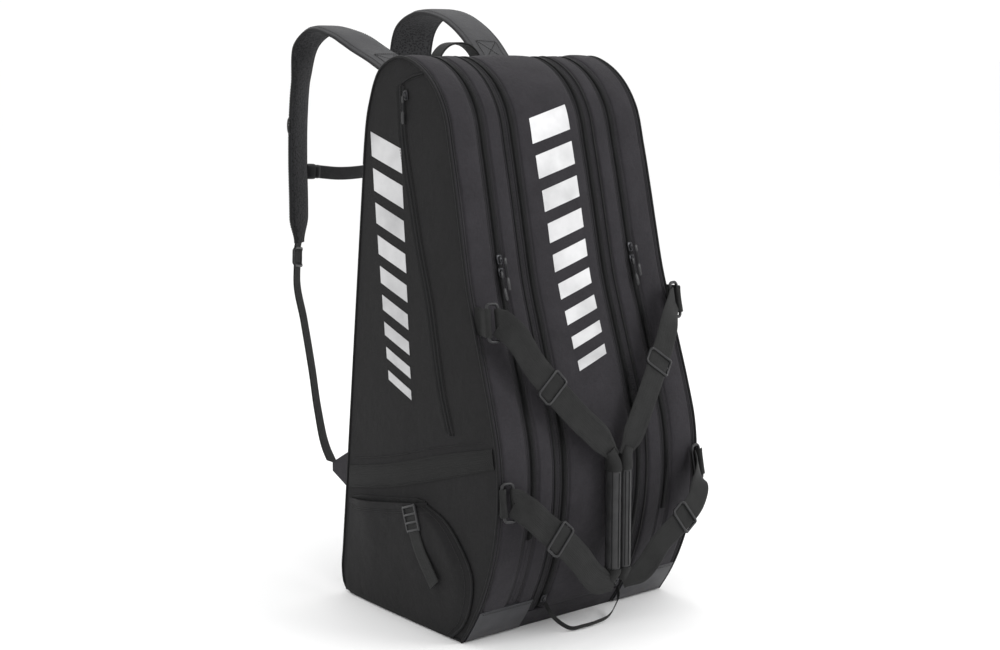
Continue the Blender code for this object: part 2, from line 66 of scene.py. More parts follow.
# ---- camera ----------------------------------------------------------------------
cam_data = bpy.data.cameras.new("camera")
cam_data.lens = 58.82
cam_data.sensor_width = 36.0
cam_data.clip_start = 0.05
cam = bpy.data.objects.new("camera", cam_data)
cam.location = (-1.43776, -1.77402, 0.765)
cam.rotation_euler = (math.radians(90 - 9.314), 0, math.radians(-38.89))
scene.collection.objects.link(cam)
scene.camera = cam

# ---- dimensions shared with the CAD ------------------------------------------------
HALF_W, TAPER, HEIGHT = 0.1815, 0.099, 0.765
ARC_Y, ARC_Z, ARC_R = 0.142, 0.215, 0.350
SEAM, ZIP_X, FLAP_X = 0.0842, 0.1225, 0.0680
FOLD_Z, BACK_CUT = 0.178, 0.655
WEB_W, WEB_T, BAR_R = 0.038, 0.0018, 0.0021
FRONT_KNEES = [(-0.2040, 0.265), (-0.1400, 0.470), (-0.0840, 0.700)]
CROWN = [(-0.0840, 0.700), (-0.0660, 0.726), (-0.0330, 0.752), (0.0100, HEIGHT),
         (0.0550, 0.749), (0.0810, 0.700), (0.0920, 0.640)]
BACK_LOW = (0.1475, 0.034)
FLAP_LOW, FLAP_TOP = 0.026, (-0.0420, 0.7455)


def k(z):
    return 1.0 - TAPER * z


def arc_y(z):
    return ARC_Y - math.sqrt(ARC_R ** 2 - (z - ARC_Z) ** 2)


def sstep(x, a=0.0, b=1.0):
    t = min(1.0, max(0.0, (x - a) / (b - a)))
    return t * t * (3 - 2 * t)


def curve(pts, step=0.006):
    """Smooth curve through points, chord-length tangents, a point about every step."""
    P = [Vector(p) for p in pts]
    n = len(P)
    d = [max(1e-9, (P[i + 1] - P[i]).length) for i in range(n - 1)]
    M = []
    for i in range(n):
        if i == 0:
            M.append((P[1] - P[0]) / d[0])
        elif i == n - 1:
            M.append((P[-1] - P[-2]) / d[-1])
        else:
            a, b = (P[i] - P[i - 1]) / d[i - 1], (P[i + 1] - P[i]) / d[i]
            M.append((a * d[i] + b * d[i - 1]) / (d[i] + d[i - 1]))
    out = []
    for i in range(n - 1):
        m = max(1, int(math.ceil(d[i] / step)))
        for j in range(m):
            t = j / m
            h00, h10 = 2 * t ** 3 - 3 * t * t + 1, t ** 3 - 2 * t * t + t
            h01, h11 = -2 * t ** 3 + 3 * t * t, t ** 3 - t * t
            out.append(P[i] * h00 + M[i] * (h10 * d[i]) + P[i + 1] * h01 + M[i + 1] * (h11 * d[i]))
    out.append(P[-1])
    return out


def resample(pts, step):
    L = [0.0]
    for a, b in zip(pts, pts[1:]):
        L.append(L[-1] + (b - a).length)
    n = max(2, int(round(L[-1] / step)))
    out, j = [], 0
    for i in range(n + 1):
        s = L[-1] * i / n
        while j < len(pts) - 2 and L[j + 1] < s:
            j += 1
        t = (s - L[j]) / max(1e-12, L[j + 1] - L[j])
        out.append(pts[j].lerp(pts[j + 1], min(1.0, max(0.0, t))))
    return out, L[-1]


def length_of(pts):
    return sum((b - a).length for a, b in zip(pts, pts[1:]))


_out = [(arc_y(z), z) for z in (0.0, 0.033, 0.066, 0.105, 0.145, 0.185, 0.225)]
BACK_MID = [(BACK_LOW[0] + (CROWN[-1][0] - BACK_LOW[0]) * (z - BACK_LOW[1]) / (CROWN[-1][1] - BACK_LOW[1]), z)
            for z in (0.610, 0.560, 0.450, 0.340, 0.230, 0.120, 0.064)]
FRONT_MID = [(-0.1905, 0.316), (-0.1740, 0.367), (-0.1565, 0.419), (-0.1400, 0.470), (-0.1268, 0.527), (-0.1143, 0.585), (-0.1010, 0.642)]
_out += FRONT_KNEES[:1] + FRONT_MID + CROWN + BACK_MID + [BACK_LOW, (0.143, 0.013), (0.128, 0.0)]
RUN, RUN_L = resample(curve([(y, z, 0) for y, z in _out], 0.004), 0.004)
RUN_DS = RUN_L / (len(RUN) - 1)
TOP_I = max(range(len(RUN)), key=lambda i: RUN[i].y)


def run(s):
    """Point (y, z) and outward normal (y, z) of the bag's outline at arc length s."""
    f = min(max(s / RUN_DS, 0.0), len(RUN) - 1.0001)
    i = int(f)
    p = RUN[i].lerp(RUN[i + 1], f - i)
    a, b = RUN[max(0, i - 1)], RUN[min(len(RUN) - 1, i + 2)]
    t = (b - a).normalized()
    return p.x, p.y, -t.y, t.x


def s_front(z):
    for i in range(TOP_I):
        if RUN[i].y <= z <= RUN[i + 1].y:
            return (i + (z - RUN[i].y) / (RUN[i + 1].y - RUN[i].y)) * RUN_DS
    return 0.0 if z <= 0 else TOP_I * RUN_DS


def s_back(z):
    for i in range(TOP_I, len(RUN) - 1):
        if RUN[i].y >= z >= RUN[i + 1].y:
            return (i + (RUN[i].y - z) / (RUN[i].y - RUN[i + 1].y)) * RUN_DS
    return RUN_L


def front_y(z):
    return run(s_front(z))[0]


def back_y(z):
    return run(s_back(z))[0]


def back_line(z):
    t = (z - BACK_LOW[1]) / (CROWN[-1][1] - BACK_LOW[1])
    return BACK_LOW[0] + (CROWN[-1][0] - BACK_LOW[0]) * t


def at(s, x, off=0.0):
    """Point on the outline wall; x is measured at the base."""
    y, z, ny, nz = run(s)
    return Vector((x * k(z), y + ny * off, z + nz * off))


def nrm(s):
    _, _, ny, nz = run(s)
    return Vector((0, ny, nz))


def bulge(s, y, z):
    yf, yb = front_y(z), back_y(z)
    v = min(1.0, max(0.0, (y - yf) / max(1e-6, yb - yf)))
    e = 1 - abs(2 * v - 1) ** 2.6
    h = max(0.0, math.sin(math.pi * min(1.0, max(0.0, (z + 0.10) / (HEIGHT + 0.10))))) ** 0.7
    w = noise.noise(Vector((y * 9, z * 7, 3.1 * s))) * 0.0011
    return (0.0045 if s < 0 else 0.0100) * e * h + w * e * h


def on_side(s, y, z, off=0.0):
    return Vector((s * (HALF_W * k(z) + bulge(s, y, z) + off), y, z))


# ---- materials ---------------------------------------------------------------------
def new_mat(name, rough, metal=0.0, spec=0.5, sheen=0.0, coat=0.0):
    m = bpy.data.materials.new(name)
    m.use_nodes = True
    nt = m.node_tree
    b = nt.nodes["Principled BSDF"]
    b.inputs["Roughness"].default_value = rough
    b.inputs["Metallic"].default_value = metal
    b.inputs["Specular IOR Level"].default_value = spec
    b.inputs["Sheen Weight"].default_value = sheen
    b.inputs["Sheen Roughness"].default_value = 0.45
    b.inputs["Coat Weight"].default_value = coat
    return m, nt, b


def math_node(nt, op, a, b=None, c=None):
    n = nt.nodes.new("ShaderNodeMath")
    n.operation = op
    for i, v in enumerate((a, b, c)):
        if v is None:
            continue
        if isinstance(v, (int, float)):
            n.inputs[i].default_value = v
        else:
            nt.links.new(v, n.inputs[i])
    return n.outputs[0]


def uv_axes(nt):
    u = nt.nodes.new("ShaderNodeUVMap")
    u.uv_map = "weave"
    sp = nt.nodes.new("ShaderNodeSeparateXYZ")
    nt.links.new(u.outputs[0], sp.inputs[0])
    return sp.outputs[0], sp.outputs[1]


def place(nt, scale, detail=3.0, rough=0.55, kind="ShaderNodeTexNoise"):
    tc = nt.nodes.new("ShaderNodeTexCoord")
    n = nt.nodes.new(kind)
    n.inputs["Scale"].default_value = scale
    if kind == "ShaderNodeTexNoise":
        n.inputs["Detail"].default_value = detail
        n.inputs["Roughness"].default_value = rough
    nt.links.new(tc.outputs["Object"], n.inputs["Vector"])
    return n


def colour(nt, b, fac, dark, light, lo=0.3, hi=0.7):
    r = nt.nodes.new("ShaderNodeValToRGB")
    r.color_ramp.elements[0].position = lo
    r.color_ramp.elements[0].color = (*dark, 1)
    r.color_ramp.elements[1].position = hi
    r.color_ramp.elements[1].color = (*light, 1)
    nt.links.new(fac, r.inputs[0])
    nt.links.new(r.outputs[0], b.inputs["Base Color"])
    return r


def bump(nt, b, height, strength, distance, prev=None):
    n = nt.nodes.new("ShaderNodeBump")
    n.inputs["Strength"].default_value = strength
    n.inputs["Distance"].default_value = distance
    nt.links.new(height, n.inputs["Height"])
    if prev is not None:
        nt.links.new(prev, n.inputs["Normal"])
    nt.links.new(n.outputs[0], b.inputs["Normal"])
    return n.outputs[0]


def rough_map(nt, b, fac, lo, hi):
    m = nt.nodes.new("ShaderNodeMapRange")
    m.inputs["To Min"].default_value = lo
    m.inputs["To Max"].default_value = hi
    nt.links.new(fac, m.inputs["Value"])
    nt.links.new(m.outputs[0], b.inputs["Roughness"])


def sine(nt, v, pitch):
    return math_node(nt, "SINE", math_node(nt, "MULTIPLY", v, 2 * math.pi / pitch))


def streak(nt, u, v, su, sv):
    """Noise drawn out along one thread direction."""
    cb = nt.nodes.new("ShaderNodeCombineXYZ")
    nt.links.new(math_node(nt, "MULTIPLY", u, su), cb.inputs[0])
    nt.links.new(math_node(nt, "MULTIPLY", v, sv), cb.inputs[1])
    n = nt.nodes.new("ShaderNodeTexNoise")
    n.inputs["Scale"].default_value = 1.0
    n.inputs["Detail"].default_value = 3.0
    nt.links.new(cb.outputs[0], n.inputs["Vector"])
    return n.outputs[0]


def fabric(name, dark, light, pitch=0.0011, rough=0.8, sheen=0.03, depth=0.00012, spec=0.16):
    """Plain-woven polyester with slight slubs and a soft mottle."""
    m, nt, b = new_mat(name, rough, spec=spec, sheen=sheen)
    u, v = uv_axes(nt)
    w = math_node(nt, "MULTIPLY", sine(nt, u, pitch), sine(nt, v, pitch))
    mott = place(nt, 26, 5, 0.6)
    fine = place(nt, 480, 3)
    slub = math_node(nt, "ADD", streak(nt, u, v, 90, 700), streak(nt, u, v, 700, 90))
    mix = math_node(nt, "ADD", math_node(nt, "MULTIPLY", mott.outputs[0], 0.42),
                    math_node(nt, "ADD", math_node(nt, "MULTIPLY", slub, 0.22), math_node(nt, "MULTIPLY", fine.outputs[0], 0.16)))
    mix = math_node(nt, "ADD", mix, math_node(nt, "MULTIPLY", w, 0.06))
    colour(nt, b, mix, dark, light, 0.25, 0.78)
    n0 = bump(nt, b, place(nt, 9, 5, 0.62).outputs[0], 0.55, 0.0080)
    n1 = bump(nt, b, place(nt, 60, 5).outputs[0], 0.40, 0.0014, n0)
    n2 = bump(nt, b, slub, 0.60, 0.0003, n1)
    bump(nt, b, w, 0.7, depth, n2)
    rough_map(nt, b, mott.outputs[0], rough - 0.08, rough + 0.10)
    return m


def webbing_mat(name, dark, light, rough=0.62, pitch=0.0021):
    """Herringbone nylon webbing: ribs across, turning back in narrow columns, plain selvedge."""
    m, nt, b = new_mat(name, rough, spec=0.18, sheen=0.02)
    u, v = uv_axes(nt)
    tri = math_node(nt, "PINGPONG", u, 0.0024)
    rib = sine(nt, math_node(nt, "ADD", v, math_node(nt, "MULTIPLY", tri, 0.9)), pitch)
    col = math_node(nt, "ABSOLUTE", sine(nt, u, 0.0048))
    h = math_node(nt, "ADD", math_node(nt, "MULTIPLY", rib, 0.5), math_node(nt, "MULTIPLY", col, 0.35))
    mott = place(nt, 60, 4)
    f = math_node(nt, "ADD", math_node(nt, "MULTIPLY", h, 0.22), mott.outputs[0])
    colour(nt, b, f, dark, light, 0.25, 0.85)
    bump(nt, b, h, 0.85, 0.00035)
    rough_map(nt, b, mott.outputs[0], rough - 0.06, rough + 0.12)
    return m


def plastic_mat(name, col, rough, edge=(0.040, 0.040, 0.042), spec=0.4):
    """Moulded acetal: fine texture, scuffed lighter edges."""
    m, nt, b = new_mat(name, rough, spec=spec)
    g = nt.nodes.new("ShaderNodeNewGeometry")
    n = place(nt, 700, 3)
    mott = place(nt, 90, 3)
    e = math_node(nt, "MULTIPLY", math_node(nt, "SUBTRACT", g.outputs["Pointiness"], 0.555), 6.0)
    e = math_node(nt, "ADD", math_node(nt, "MAXIMUM", e, 0.0), math_node(nt, "MULTIPLY", mott.outputs[0], 0.15))
    colour(nt, b, e, col, edge, 0.05, 1.0)
    bump(nt, b, n.outputs[0], 0.25, 0.0001)
    rough_map(nt, b, mott.outputs[0], rough - 0.06, rough + 0.10)
    return m


M = {}
M["shell"] = fabric("shell_fabric", (0.0112, 0.0103, 0.0121), (0.0350, 0.0325, 0.0372))
M["side"] = fabric("side_fabric", (0.0056, 0.0054, 0.0057), (0.0172, 0.0168, 0.0174))
M["lining"] = fabric("lining", (0.030, 0.030, 0.033), (0.050, 0.050, 0.055), pitch=0.0008, rough=0.6)
M["strap_face"] = fabric("strap_face", (0.034, 0.034, 0.036), (0.066, 0.066, 0.069), pitch=0.0013, rough=0.62)
M["web"] = webbing_mat("webbing", (0.0070, 0.0071, 0.0070), (0.0182, 0.0185, 0.0182))
M["band"] = webbing_mat("band_webbing", (0.0036, 0.0037, 0.0036), (0.0092, 0.0094, 0.0092))
M["binding"] = webbing_mat("binding", (0.0130, 0.0130, 0.0140), (0.0260, 0.0260, 0.0270), pitch=0.0014)
M["elastic"] = webbing_mat("elastic", (0.018, 0.018, 0.019), (0.040, 0.040, 0.042), pitch=0.0011)
# dark piping: real piping, darker than the shell partly to paint the shade along the seams
M["piping"] = fabric("piping", (0.0045, 0.0045, 0.0048), (0.0095, 0.0095, 0.0100), rough=0.6)
M["tape"] = webbing_mat("zip_tape", (0.005, 0.005, 0.0055), (0.012, 0.012, 0.0125), pitch=0.0010)
M["plastic"] = plastic_mat("plastic", (0.010, 0.010, 0.011), 0.36)
M["coil"] = plastic_mat("coil", (0.0035, 0.0035, 0.0038), 0.42, (0.012, 0.012, 0.0125), 0.16)
M["cord"] = webbing_mat("puller_cord", (0.012, 0.012, 0.013), (0.030, 0.030, 0.032), pitch=0.0012)

# stitch thread, near black: real stitches, darkened to paint the shade in the sewn grooves beside them
m, nt, b = new_mat("stitch_thread", 0.55, spec=0.4)
colour(nt, b, place(nt, 400, 2).outputs[0], (0.0030, 0.0030, 0.0032), (0.0085, 0.0085, 0.0090))
bump(nt, b, place(nt, 2500, 1).outputs[0], 0.5, 0.0001)
M["thread"] = m

m, nt, b = new_mat("coated_fabric", 0.48, spec=0.35)
cell = place(nt, 620, kind="ShaderNodeTexVoronoi")
colour(nt, b, place(nt, 40, 4).outputs[0], (0.024, 0.024, 0.027), (0.038, 0.038, 0.042))
bump(nt, b, cell.outputs["Distance"], 0.4, 0.0003)
rough_map(nt, b, place(nt, 70, 4).outputs[0], 0.34, 0.52)
M["coated"] = m

m, nt, b = new_mat("grip_leather", 0.44, spec=0.4)
cell = place(nt, 750, kind="ShaderNodeTexVoronoi")
colour(nt, b, place(nt, 55, 4).outputs[0], (0.0105, 0.0105, 0.0110), (0.0230, 0.0230, 0.0240))
n1 = bump(nt, b, place(nt, 60, 5).outputs[0], 0.35, 0.0012)
bump(nt, b, cell.outputs["Distance"], 0.5, 0.0003, n1)
rough_map(nt, b, place(nt, 90, 3).outputs[0], 0.36, 0.58)
M["leather"] = m

m, nt, b = new_mat("mesh_padding", 0.9, spec=0.12, sheen=0.04)
cell = place(nt, 330, kind="ShaderNodeTexVoronoi")
colour(nt, b, cell.outputs["Distance"], (0.010, 0.010, 0.011), (0.042, 0.042, 0.044), 0.1, 0.55)
bump(nt, b, cell.outputs["Distance"], 0.9, 0.0011)
M["mesh"] = m

m, nt, b = new_mat("zip_metal", 0.30, 0.75)
colour(nt, b, place(nt, 180, 4).outputs[0], (0.016, 0.016, 0.018), (0.050, 0.050, 0.054))
rough_map(nt, b, place(nt, 220, 3).outputs[0], 0.22, 0.42)
bump(nt, b, place(nt, 1200, 2).outputs[0], 0.15, 0.0001)
M["metal"] = m

m, nt, b = new_mat("silver_print", 0.42, 0.25, spec=0.3)
colour(nt, b, place(nt, 14, 4).outputs[0], (0.40, 0.40, 0.405), (0.60, 0.60, 0.605), 0.30, 0.70)
u, v = uv_axes(nt)
bump(nt, b, math_node(nt, "MULTIPLY", sine(nt, u, 0.0011), sine(nt, v, 0.0011)), 0.5, 0.00008)
rough_map(nt, b, place(nt, 500, 2).outputs[0], 0.28, 0.48)
M["silver"] = m


# ---- geometry ----------------------------------------------------------------------
class Geo:
    """Collects closed pieces of mesh, with weave coordinates in metres."""

    def __init__(self):
        self.v, self.f, self.uv, self.m = [], [], [], []

    def add(self, verts, faces, uvs=None, mat=0):
        b = len(self.v)
        self.v += [tuple(p) for p in verts]
        for i, f in enumerate(faces):
            self.f.append([b + q for q in f])
            self.m.append(mat[i] if isinstance(mat, list) else mat)
            self.uv.append([uvs[q] for q in f] if uvs else [(0.0, 0.0)] * len(f))

    def shell(self, fn, nu, nv, thick, uvfn=None, inner=0):
        """Sheet of the given thickness; fn(u, v) gives its outer point and normal."""
        out, inn, uv = [], [], []
        for i in range(nv + 1):
            for j in range(nu + 1):
                p, n = fn(j / nu, i / nv)
                out.append(p)
                inn.append(p - n * thick)
                uv.append(uvfn(j / nu, i / nv) if uvfn else (0, 0))
        N, w = len(out), nu + 1
        F, mats = [], []
        for i in range(nv):
            for j in range(nu):
                a = i * w + j
                F.append([a, a + 1, a + w + 1, a + w])
                mats.append(0)
                F.append([N + a, N + a + w, N + a + w + 1, N + a + 1])
                mats.append(inner)
        edge = [j for j in range(w)] + [i * w + nu for i in range(1, nv + 1)]
        edge += [nv * w + j for j in range(nu - 1, -1, -1)] + [i * w for i in range(nv - 1, 0, -1)]
        for a, c in zip(edge, edge[1:] + edge[:1]):
            F.append([a, N + a, N + c, c])
            mats.append(0)
        self.add(out + inn, F, uv + uv, mats)

    def sweep(self, pts, wide, prof, widths=1.0, thicks=1.0, close=False, mat=0, cap=True):
        """Sweep a unit profile [(u, v)] along points; wide is the direction of u."""
        pts = [Vector(p) for p in pts]
        n, m = len(pts), len(prof)
        V, UV, s = [], [], 0.0
        for i, p in enumerate(pts):
            a = pts[(i - 1) % n] if (close or i > 0) else p
            c = pts[(i + 1) % n] if (close or i < n - 1) else p
            t = (c - a).normalized()
            w = Vector(wide[i] if isinstance(wide, list) else wide)
            w = w - t * w.dot(t)
            w = w.normalized() if w.length > 1e-9 else t.orthogonal().normalized()
            nn = t.cross(w)
            W = (widths[i] if isinstance(widths, list) else widths) / 2
            T = (thicks[i] if isinstance(thicks, list) else thicks) / 2
            if i:
                s += (p - pts[i - 1]).length
            for u, v in prof:
                V.append(p + w * (u * W) + nn * (v * T))
                UV.append((u * W, s))
        F = []
        for i in range(n if close else n - 1):
            j = (i + 1) % n
            F += [[i * m + q, i * m + (q + 1) % m, j * m + (q + 1) % m, j * m + q] for q in range(m)]
        if not close and cap:
            F += [list(range(m))[::-1], [(n - 1) * m + q for q in range(m)]]
        self.add(V, F, UV, mat)

    def tube(self, pts, r, sides=8, close=False, mat=0):
        pts = [Vector(p) for p in pts]
        t = (pts[1] - pts[0]).normalized()
        w = t.orthogonal().normalized()
        W = []
        for i in range(len(pts)):
            a, c = pts[max(0, i - 1)], pts[min(len(pts) - 1, i + 1)]
            t = (c - a).normalized()
            w = (w - t * w.dot(t)).normalized()
            W.append(w.copy())
        self.sweep(pts, W, circle(sides), 2 * r if not isinstance(r, list) else [2 * q for q in r],
                   2 * r if not isinstance(r, list) else [2 * q for q in r], close, mat)

    def bar(self, c, t, w, n, l, b, h, mat=0):
        """Small rounded bar: length l along t, breadth b along w, height h along n."""
        pr = [(-1, -0.35), (-0.55, -1), (0.55, -1), (1, -0.35), (1, 0.35), (0.55, 1), (-0.55, 1), (-1, 0.35)]
        pts = [c - t * l / 2, c - t * (l * 0.40), c + t * (l * 0.40), c + t * l / 2]
        self.sweep(pts, w, pr, [b * 0.6, b, b, b * 0.6], [h * 0.6, h, h, h * 0.6], mat=mat)

    def stitches(self, pts, normals, pitch=0.0038, size=0.00058, lift=0.00015, mat=0):
        """Row of thread stitches lying on a surface."""
        L = [0.0]
        for a, c in zip(pts, pts[1:]):
            L.append(L[-1] + (c - a).length)
        j, s = 0, pitch * 0.5
        while s < L[-1] - pitch * 0.5:
            while L[j + 1] < s:
                j += 1
            f = (s - L[j]) / max(1e-9, L[j + 1] - L[j])
            p = pts[j].lerp(pts[j + 1], f)
            n = (normals[j] if isinstance(normals, list) else normals).normalized()
            t = (pts[j + 1] - pts[j]).normalized()
            w = t.cross(n).normalized()
            c = p + n * lift
            h = pitch * 0.36
            V = [c - t * h, c + t * h]
            mid = [c + w * size, c + n * size, c - w * size, c - n * size]
            q = [x - t * h * 0.7 for x in mid] + [x + t * h * 0.7 for x in mid]
            F = [[0, 3, 2], [0, 4, 3], [0, 5, 4], [0, 2, 5], [1, 6, 7], [1, 7, 8], [1, 8, 9], [1, 9, 6],
                 [2, 3, 7, 6], [3, 4, 8, 7], [4, 5, 9, 8], [5, 2, 6, 9]]
            self.add(V + q, F, None, mat)
            s += pitch

    def make(self, name, mats, smooth=True, angle=50):
        me = bpy.data.meshes.new(name)
        me.from_pydata(self.v, [], self.f)
        uvl = me.uv_layers.new(name="weave")
        flat = [c for f in self.uv for uv in f for c in uv]
        uvl.data.foreach_set("uv", flat)
        mats = [mats] if isinstance(mats, str) else mats
        for q in mats:
            me.materials.append(M[q])
        me.polygons.foreach_set("material_index", self.m)
        bm = bmesh.new()
        bm.from_mesh(me)
        bmesh.ops.recalc_face_normals(bm, faces=bm.faces)
        bm.to_mesh(me)
        bm.free()
        if smooth:
            me.shade_smooth()
            me.set_sharp_from_angle(angle=math.radians(angle))
        ob = bpy.data.objects.new(name, me)
        scene.collection.objects.link(ob)
        return ob


def circle(n):
    return [(math.cos(2 * math.pi * i / n), math.sin(2 * math.pi * i / n)) for i in range(n)]


def flat_prof(n=8, edge=0.93, dish=0.0):
    """Webbing section: flat faces, rounded selvedges, faintly dished."""
    xs = [-edge + 2 * edge * i / n for i in range(n + 1)]
    top = [(x, 1 + dish * (x * x - 1)) for x in xs]
    low = [(x, -1 + dish * (x * x - 1)) for x in xs[::-1]]
    return [(-1, 0)] + top + [(1, 0)] + low


WEB = flat_prof(8)


def pad_prof(n=14, p=2.6):
    """Rounded pad section."""
    out = []
    for i in range(2 * n):
        a = math.pi * i / n
        c, q = math.cos(a), math.sin(a)
        out.append((math.copysign(abs(c) ** (2 / p), c), math.copysign(abs(q) ** (2 / p), q)))
    return out


def cover(ob):
    """Bakes the cover piece's transform into its mesh."""
    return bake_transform(ob)


GROOVE = {"outer": (ZIP_X + 0.0072, ZIP_X + 0.0102, HALF_W - 0.0085), "inner": (ZIP_X - 0.0072, ZIP_X - 0.0102, SEAM + 0.0040),
          "edge": (FLAP_X + 0.0072, FLAP_X + 0.0100, SEAM - 0.0035), "flap": (FLAP_X - 0.0072, FLAP_X - 0.0102)}


def sewn(x, grooves, depth=0.0017):
    """How far the sewing draws the cloth in at x."""
    return -sum(depth * math.exp(-((abs(x) - q) / 0.0015) ** 2) for q in grooves)


def strip(geo, s0, s1, xa, xb, puff=0.0012, off=0.0, thick=0.004, ds=0.009, wob=0.0007, inner=1, seed=0.0, grooves=()):
    nv = max(2, int((s1 - s0) / ds))
    lo, hi = min(xa, xb), max(xa, xb)
    xs = [lo + (hi - lo) * i / max(4, int((hi - lo) / 0.0065)) for i in range(max(4, int((hi - lo) / 0.0065)) + 1)]
    for q in grooves:
        for sg in (-1, 1):
            xs += [sg * q + d for d in (-0.0030, -0.0016, -0.0008, 0.0, 0.0008, 0.0016, 0.0030) if lo < sg * q + d < hi]
    xs = sorted(set(round(x, 6) for x in xs))
    nu = len(xs) - 1

    def fn(u, v):
        s = s0 + (s1 - s0) * v
        x = xs[int(round(u * nu))]
        e = 1 - abs(2 * (x - lo) / (hi - lo) - 1) ** 3
        end = sstep(min(v, 1 - v) * (s1 - s0), 0.0, 0.012)
        o = off + puff * e * end + wob * e * end * noise.noise(Vector((x * 26, s * 13, seed))) + sewn(x, grooves)
        return at(s, x, o), nrm(s)

    geo.shell(fn, nu, nv, thick, lambda u, v: (xs[int(round(u * nu))], s0 + (s1 - s0) * v), inner)


def line_on(s0, s1, x, off=0.0, step=0.006):
    n = max(2, int((s1 - s0) / step))
    ss = [s0 + (s1 - s0) * i / n for i in range(n + 1)]
    return [at(s, x, off) for s in ss], [nrm(s) for s in ss]


S_TOP = s_front(FLAP_TOP[1])
S_LOW = s_front(FLAP_LOW)
S_ZIP = s_front(0.145)
S_REAR = s_back(0.700)
S_CUT = s_back(BACK_CUT)
S_BACK = s_back(0.620)
TAPE = 0.0050          # half the visible zip tape

# ---- the hanging linking tape between the centre zip sliders -----------------------
def arc_frame(x0, z, off):
    n = Vector((0, arc_y(z) - ARC_Y, z - ARC_Z)).normalized()
    t = Vector((0, -n.z, n.y))
    t = -t if t.z < 0 else t
    p = Vector((x0 * k(z), arc_y(z), z)) + n * off
    return p, t, t.cross(n).normalized(), n


cl, cr = arc_frame(-FLAP_X, 0.048, 0.0016), arc_frame(FLAP_X, 0.042, 0.0016)
tl = cl[0] + cl[3] * 0.0054 + Vector((0, -0.0008, -0.004))
tr = cr[0] + cr[3] * 0.0054 + Vector((0, -0.0008, -0.004))
tape_path = curve([tl, tl + Vector((0.002, -0.0085, -0.012)), (-0.054, -0.184, 0.0150), (-0.040, -0.1925, 0.0050), (-0.020, -0.1965, 0.0048),
                   (0.006, -0.1960, 0.0050), (0.030, -0.1920, 0.0065), (0.050, -0.1830, 0.0135), tr + Vector((-0.005, -0.0075, -0.011)), tr], 0.003)
g = Geo()
g.sweep(tape_path, (0.2, -0.4, 0.9), flat_prof(6), 0.0060, 0.0014)
tape = g.make("linking_tape_woven", "web")
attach(tape, "centre_zip_pair")
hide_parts("linking_tape")

# ---- bag body panels -----------------------------------------------------------------
g = Geo()
strip(g, 0.0, S_LOW, -SEAM + 0.001, SEAM - 0.001, puff=0.0004, seed=1)
for s in (-1, 1):
    strip(g, S_LOW + 0.0004, S_BACK, s * (FLAP_X + TAPE), s * (SEAM - 0.001), puff=0.0004, wob=0.0002, seed=3 + s, grooves=GROOVE["edge"])
    strip(g, 0.0, S_BACK, s * (SEAM + 0.001), s * (ZIP_X - TAPE), puff=0.0018, seed=6 + s, grooves=GROOVE["inner"])
    strip(g, 0.0, S_ZIP + 0.0012, s * (ZIP_X - TAPE), s * (ZIP_X + 0.0005), puff=0.0, wob=0.0, seed=9 + s)
ob = g.make("fixed_gussets", ["shell", "lining"])
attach(ob, "bag")
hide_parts("centre_compartment_tub", "left_compartment_tub", "right_compartment_tub")

g = Geo()
strip(g, S_BACK, RUN_L, -HALF_W + 0.0005, HALF_W - 0.0005, puff=0.0002, wob=0.0, ds=0.012)
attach(g.make("back_panel", ["side", "lining"]), "bag")

# base: coated fabric over a board, with a rolled rim
g = Geo()
ya, yb = arc_y(0), 0.128


def base_fn(u, v):
    y = ya + 0.001 + (yb - ya - 0.002) * v
    x = (2 * u - 1) * (HALF_W + bulge(-1 if u < 0.5 else 1, y, 0.0) - 0.0008)
    return Vector((x, y, 0.0004)), Vector((0, 0, -1))


g.shell(base_fn, 40, 30, 0.0042, lambda u, v: (u * 2 * HALF_W, v * (yb - ya)), 1)
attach(g.make("base_panel", ["coated", "lining"]), "bag")

# padded dividers between the compartments
for side, s in (("left", -1), ("right", 1)):
    g = Geo()
    ring = [(q.x, q.y) for q in RUN[::3]]
    cy, cz = 0.0, 0.35
    ins = []
    for y, z in ring:
        d = Vector((cy - y, cz - z))
        d = d.normalized() * 0.006
        ins.append((y + d.x, z + d.y))
    n = len(ins)
    V = [Vector((s * (SEAM * k(z) - 0.003), y, z)) for y, z in ins] + [Vector((s * (SEAM * k(z) + 0.004), y, z)) for y, z in ins]
    F = [list(range(n)), list(range(2 * n - 1, n - 1, -1))] + [[i, (i + 1) % n, (i + 1) % n + n, i + n] for i in range(n)]
    g.add(V, F, [(p.y, p.z) for p in V])
    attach(g.make(side + "_divider", "lining", angle=30), "bag")

# ---- centre flap ----------------------------------------------------------------------
g = Geo()
strip(g, S_LOW + 0.0006, S_BACK, -FLAP_X + TAPE, FLAP_X - TAPE, puff=0.0028, wob=0.0011, ds=0.008, seed=20, grooves=GROOVE["flap"])
flap = g.make("flap_panel", ["shell", "lining"])


def flap_blend(ob):
    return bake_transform(ob)


flap_blend(flap)
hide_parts("centre_front_flap")


def flap_o(s, x):
    u = (x + FLAP_X - TAPE) / (2 * (FLAP_X - TAPE))
    e = 1 - abs(2 * u - 1) ** 3
    return 0.0028 * e + 0.0011 * e * noise.noise(Vector((x * 26, s * 13, 20)))


# generic slanted bars in silver print, long at the top and thinner below
def flap_bars():
    g = Geo()
    z = 0.692
    for i in range(9):
        h = 0.0330 - 0.0025 * i
        s_hi, s_lo = s_front(z), s_front(z - h)
        half = 0.037 - 0.0012 * i
        cx = 0.002 + 0.0010 * i

        def fn(u, v):
            s = s_lo + (s_hi - s_lo) * v + (u - 0.5) * 0.018
            x = cx + half * (2 * u - 1)
            return at(s, x, flap_o(s, x) + 0.00045), nrm(s)

        g.shell(fn, 22, 10, 0.0004, lambda u, v: (u * 0.07, v * 0.03))
        z -= h + 0.0155
    return g


marks = flap_bars().make("flap_silver_bars", "silver")
flap_blend(marks)

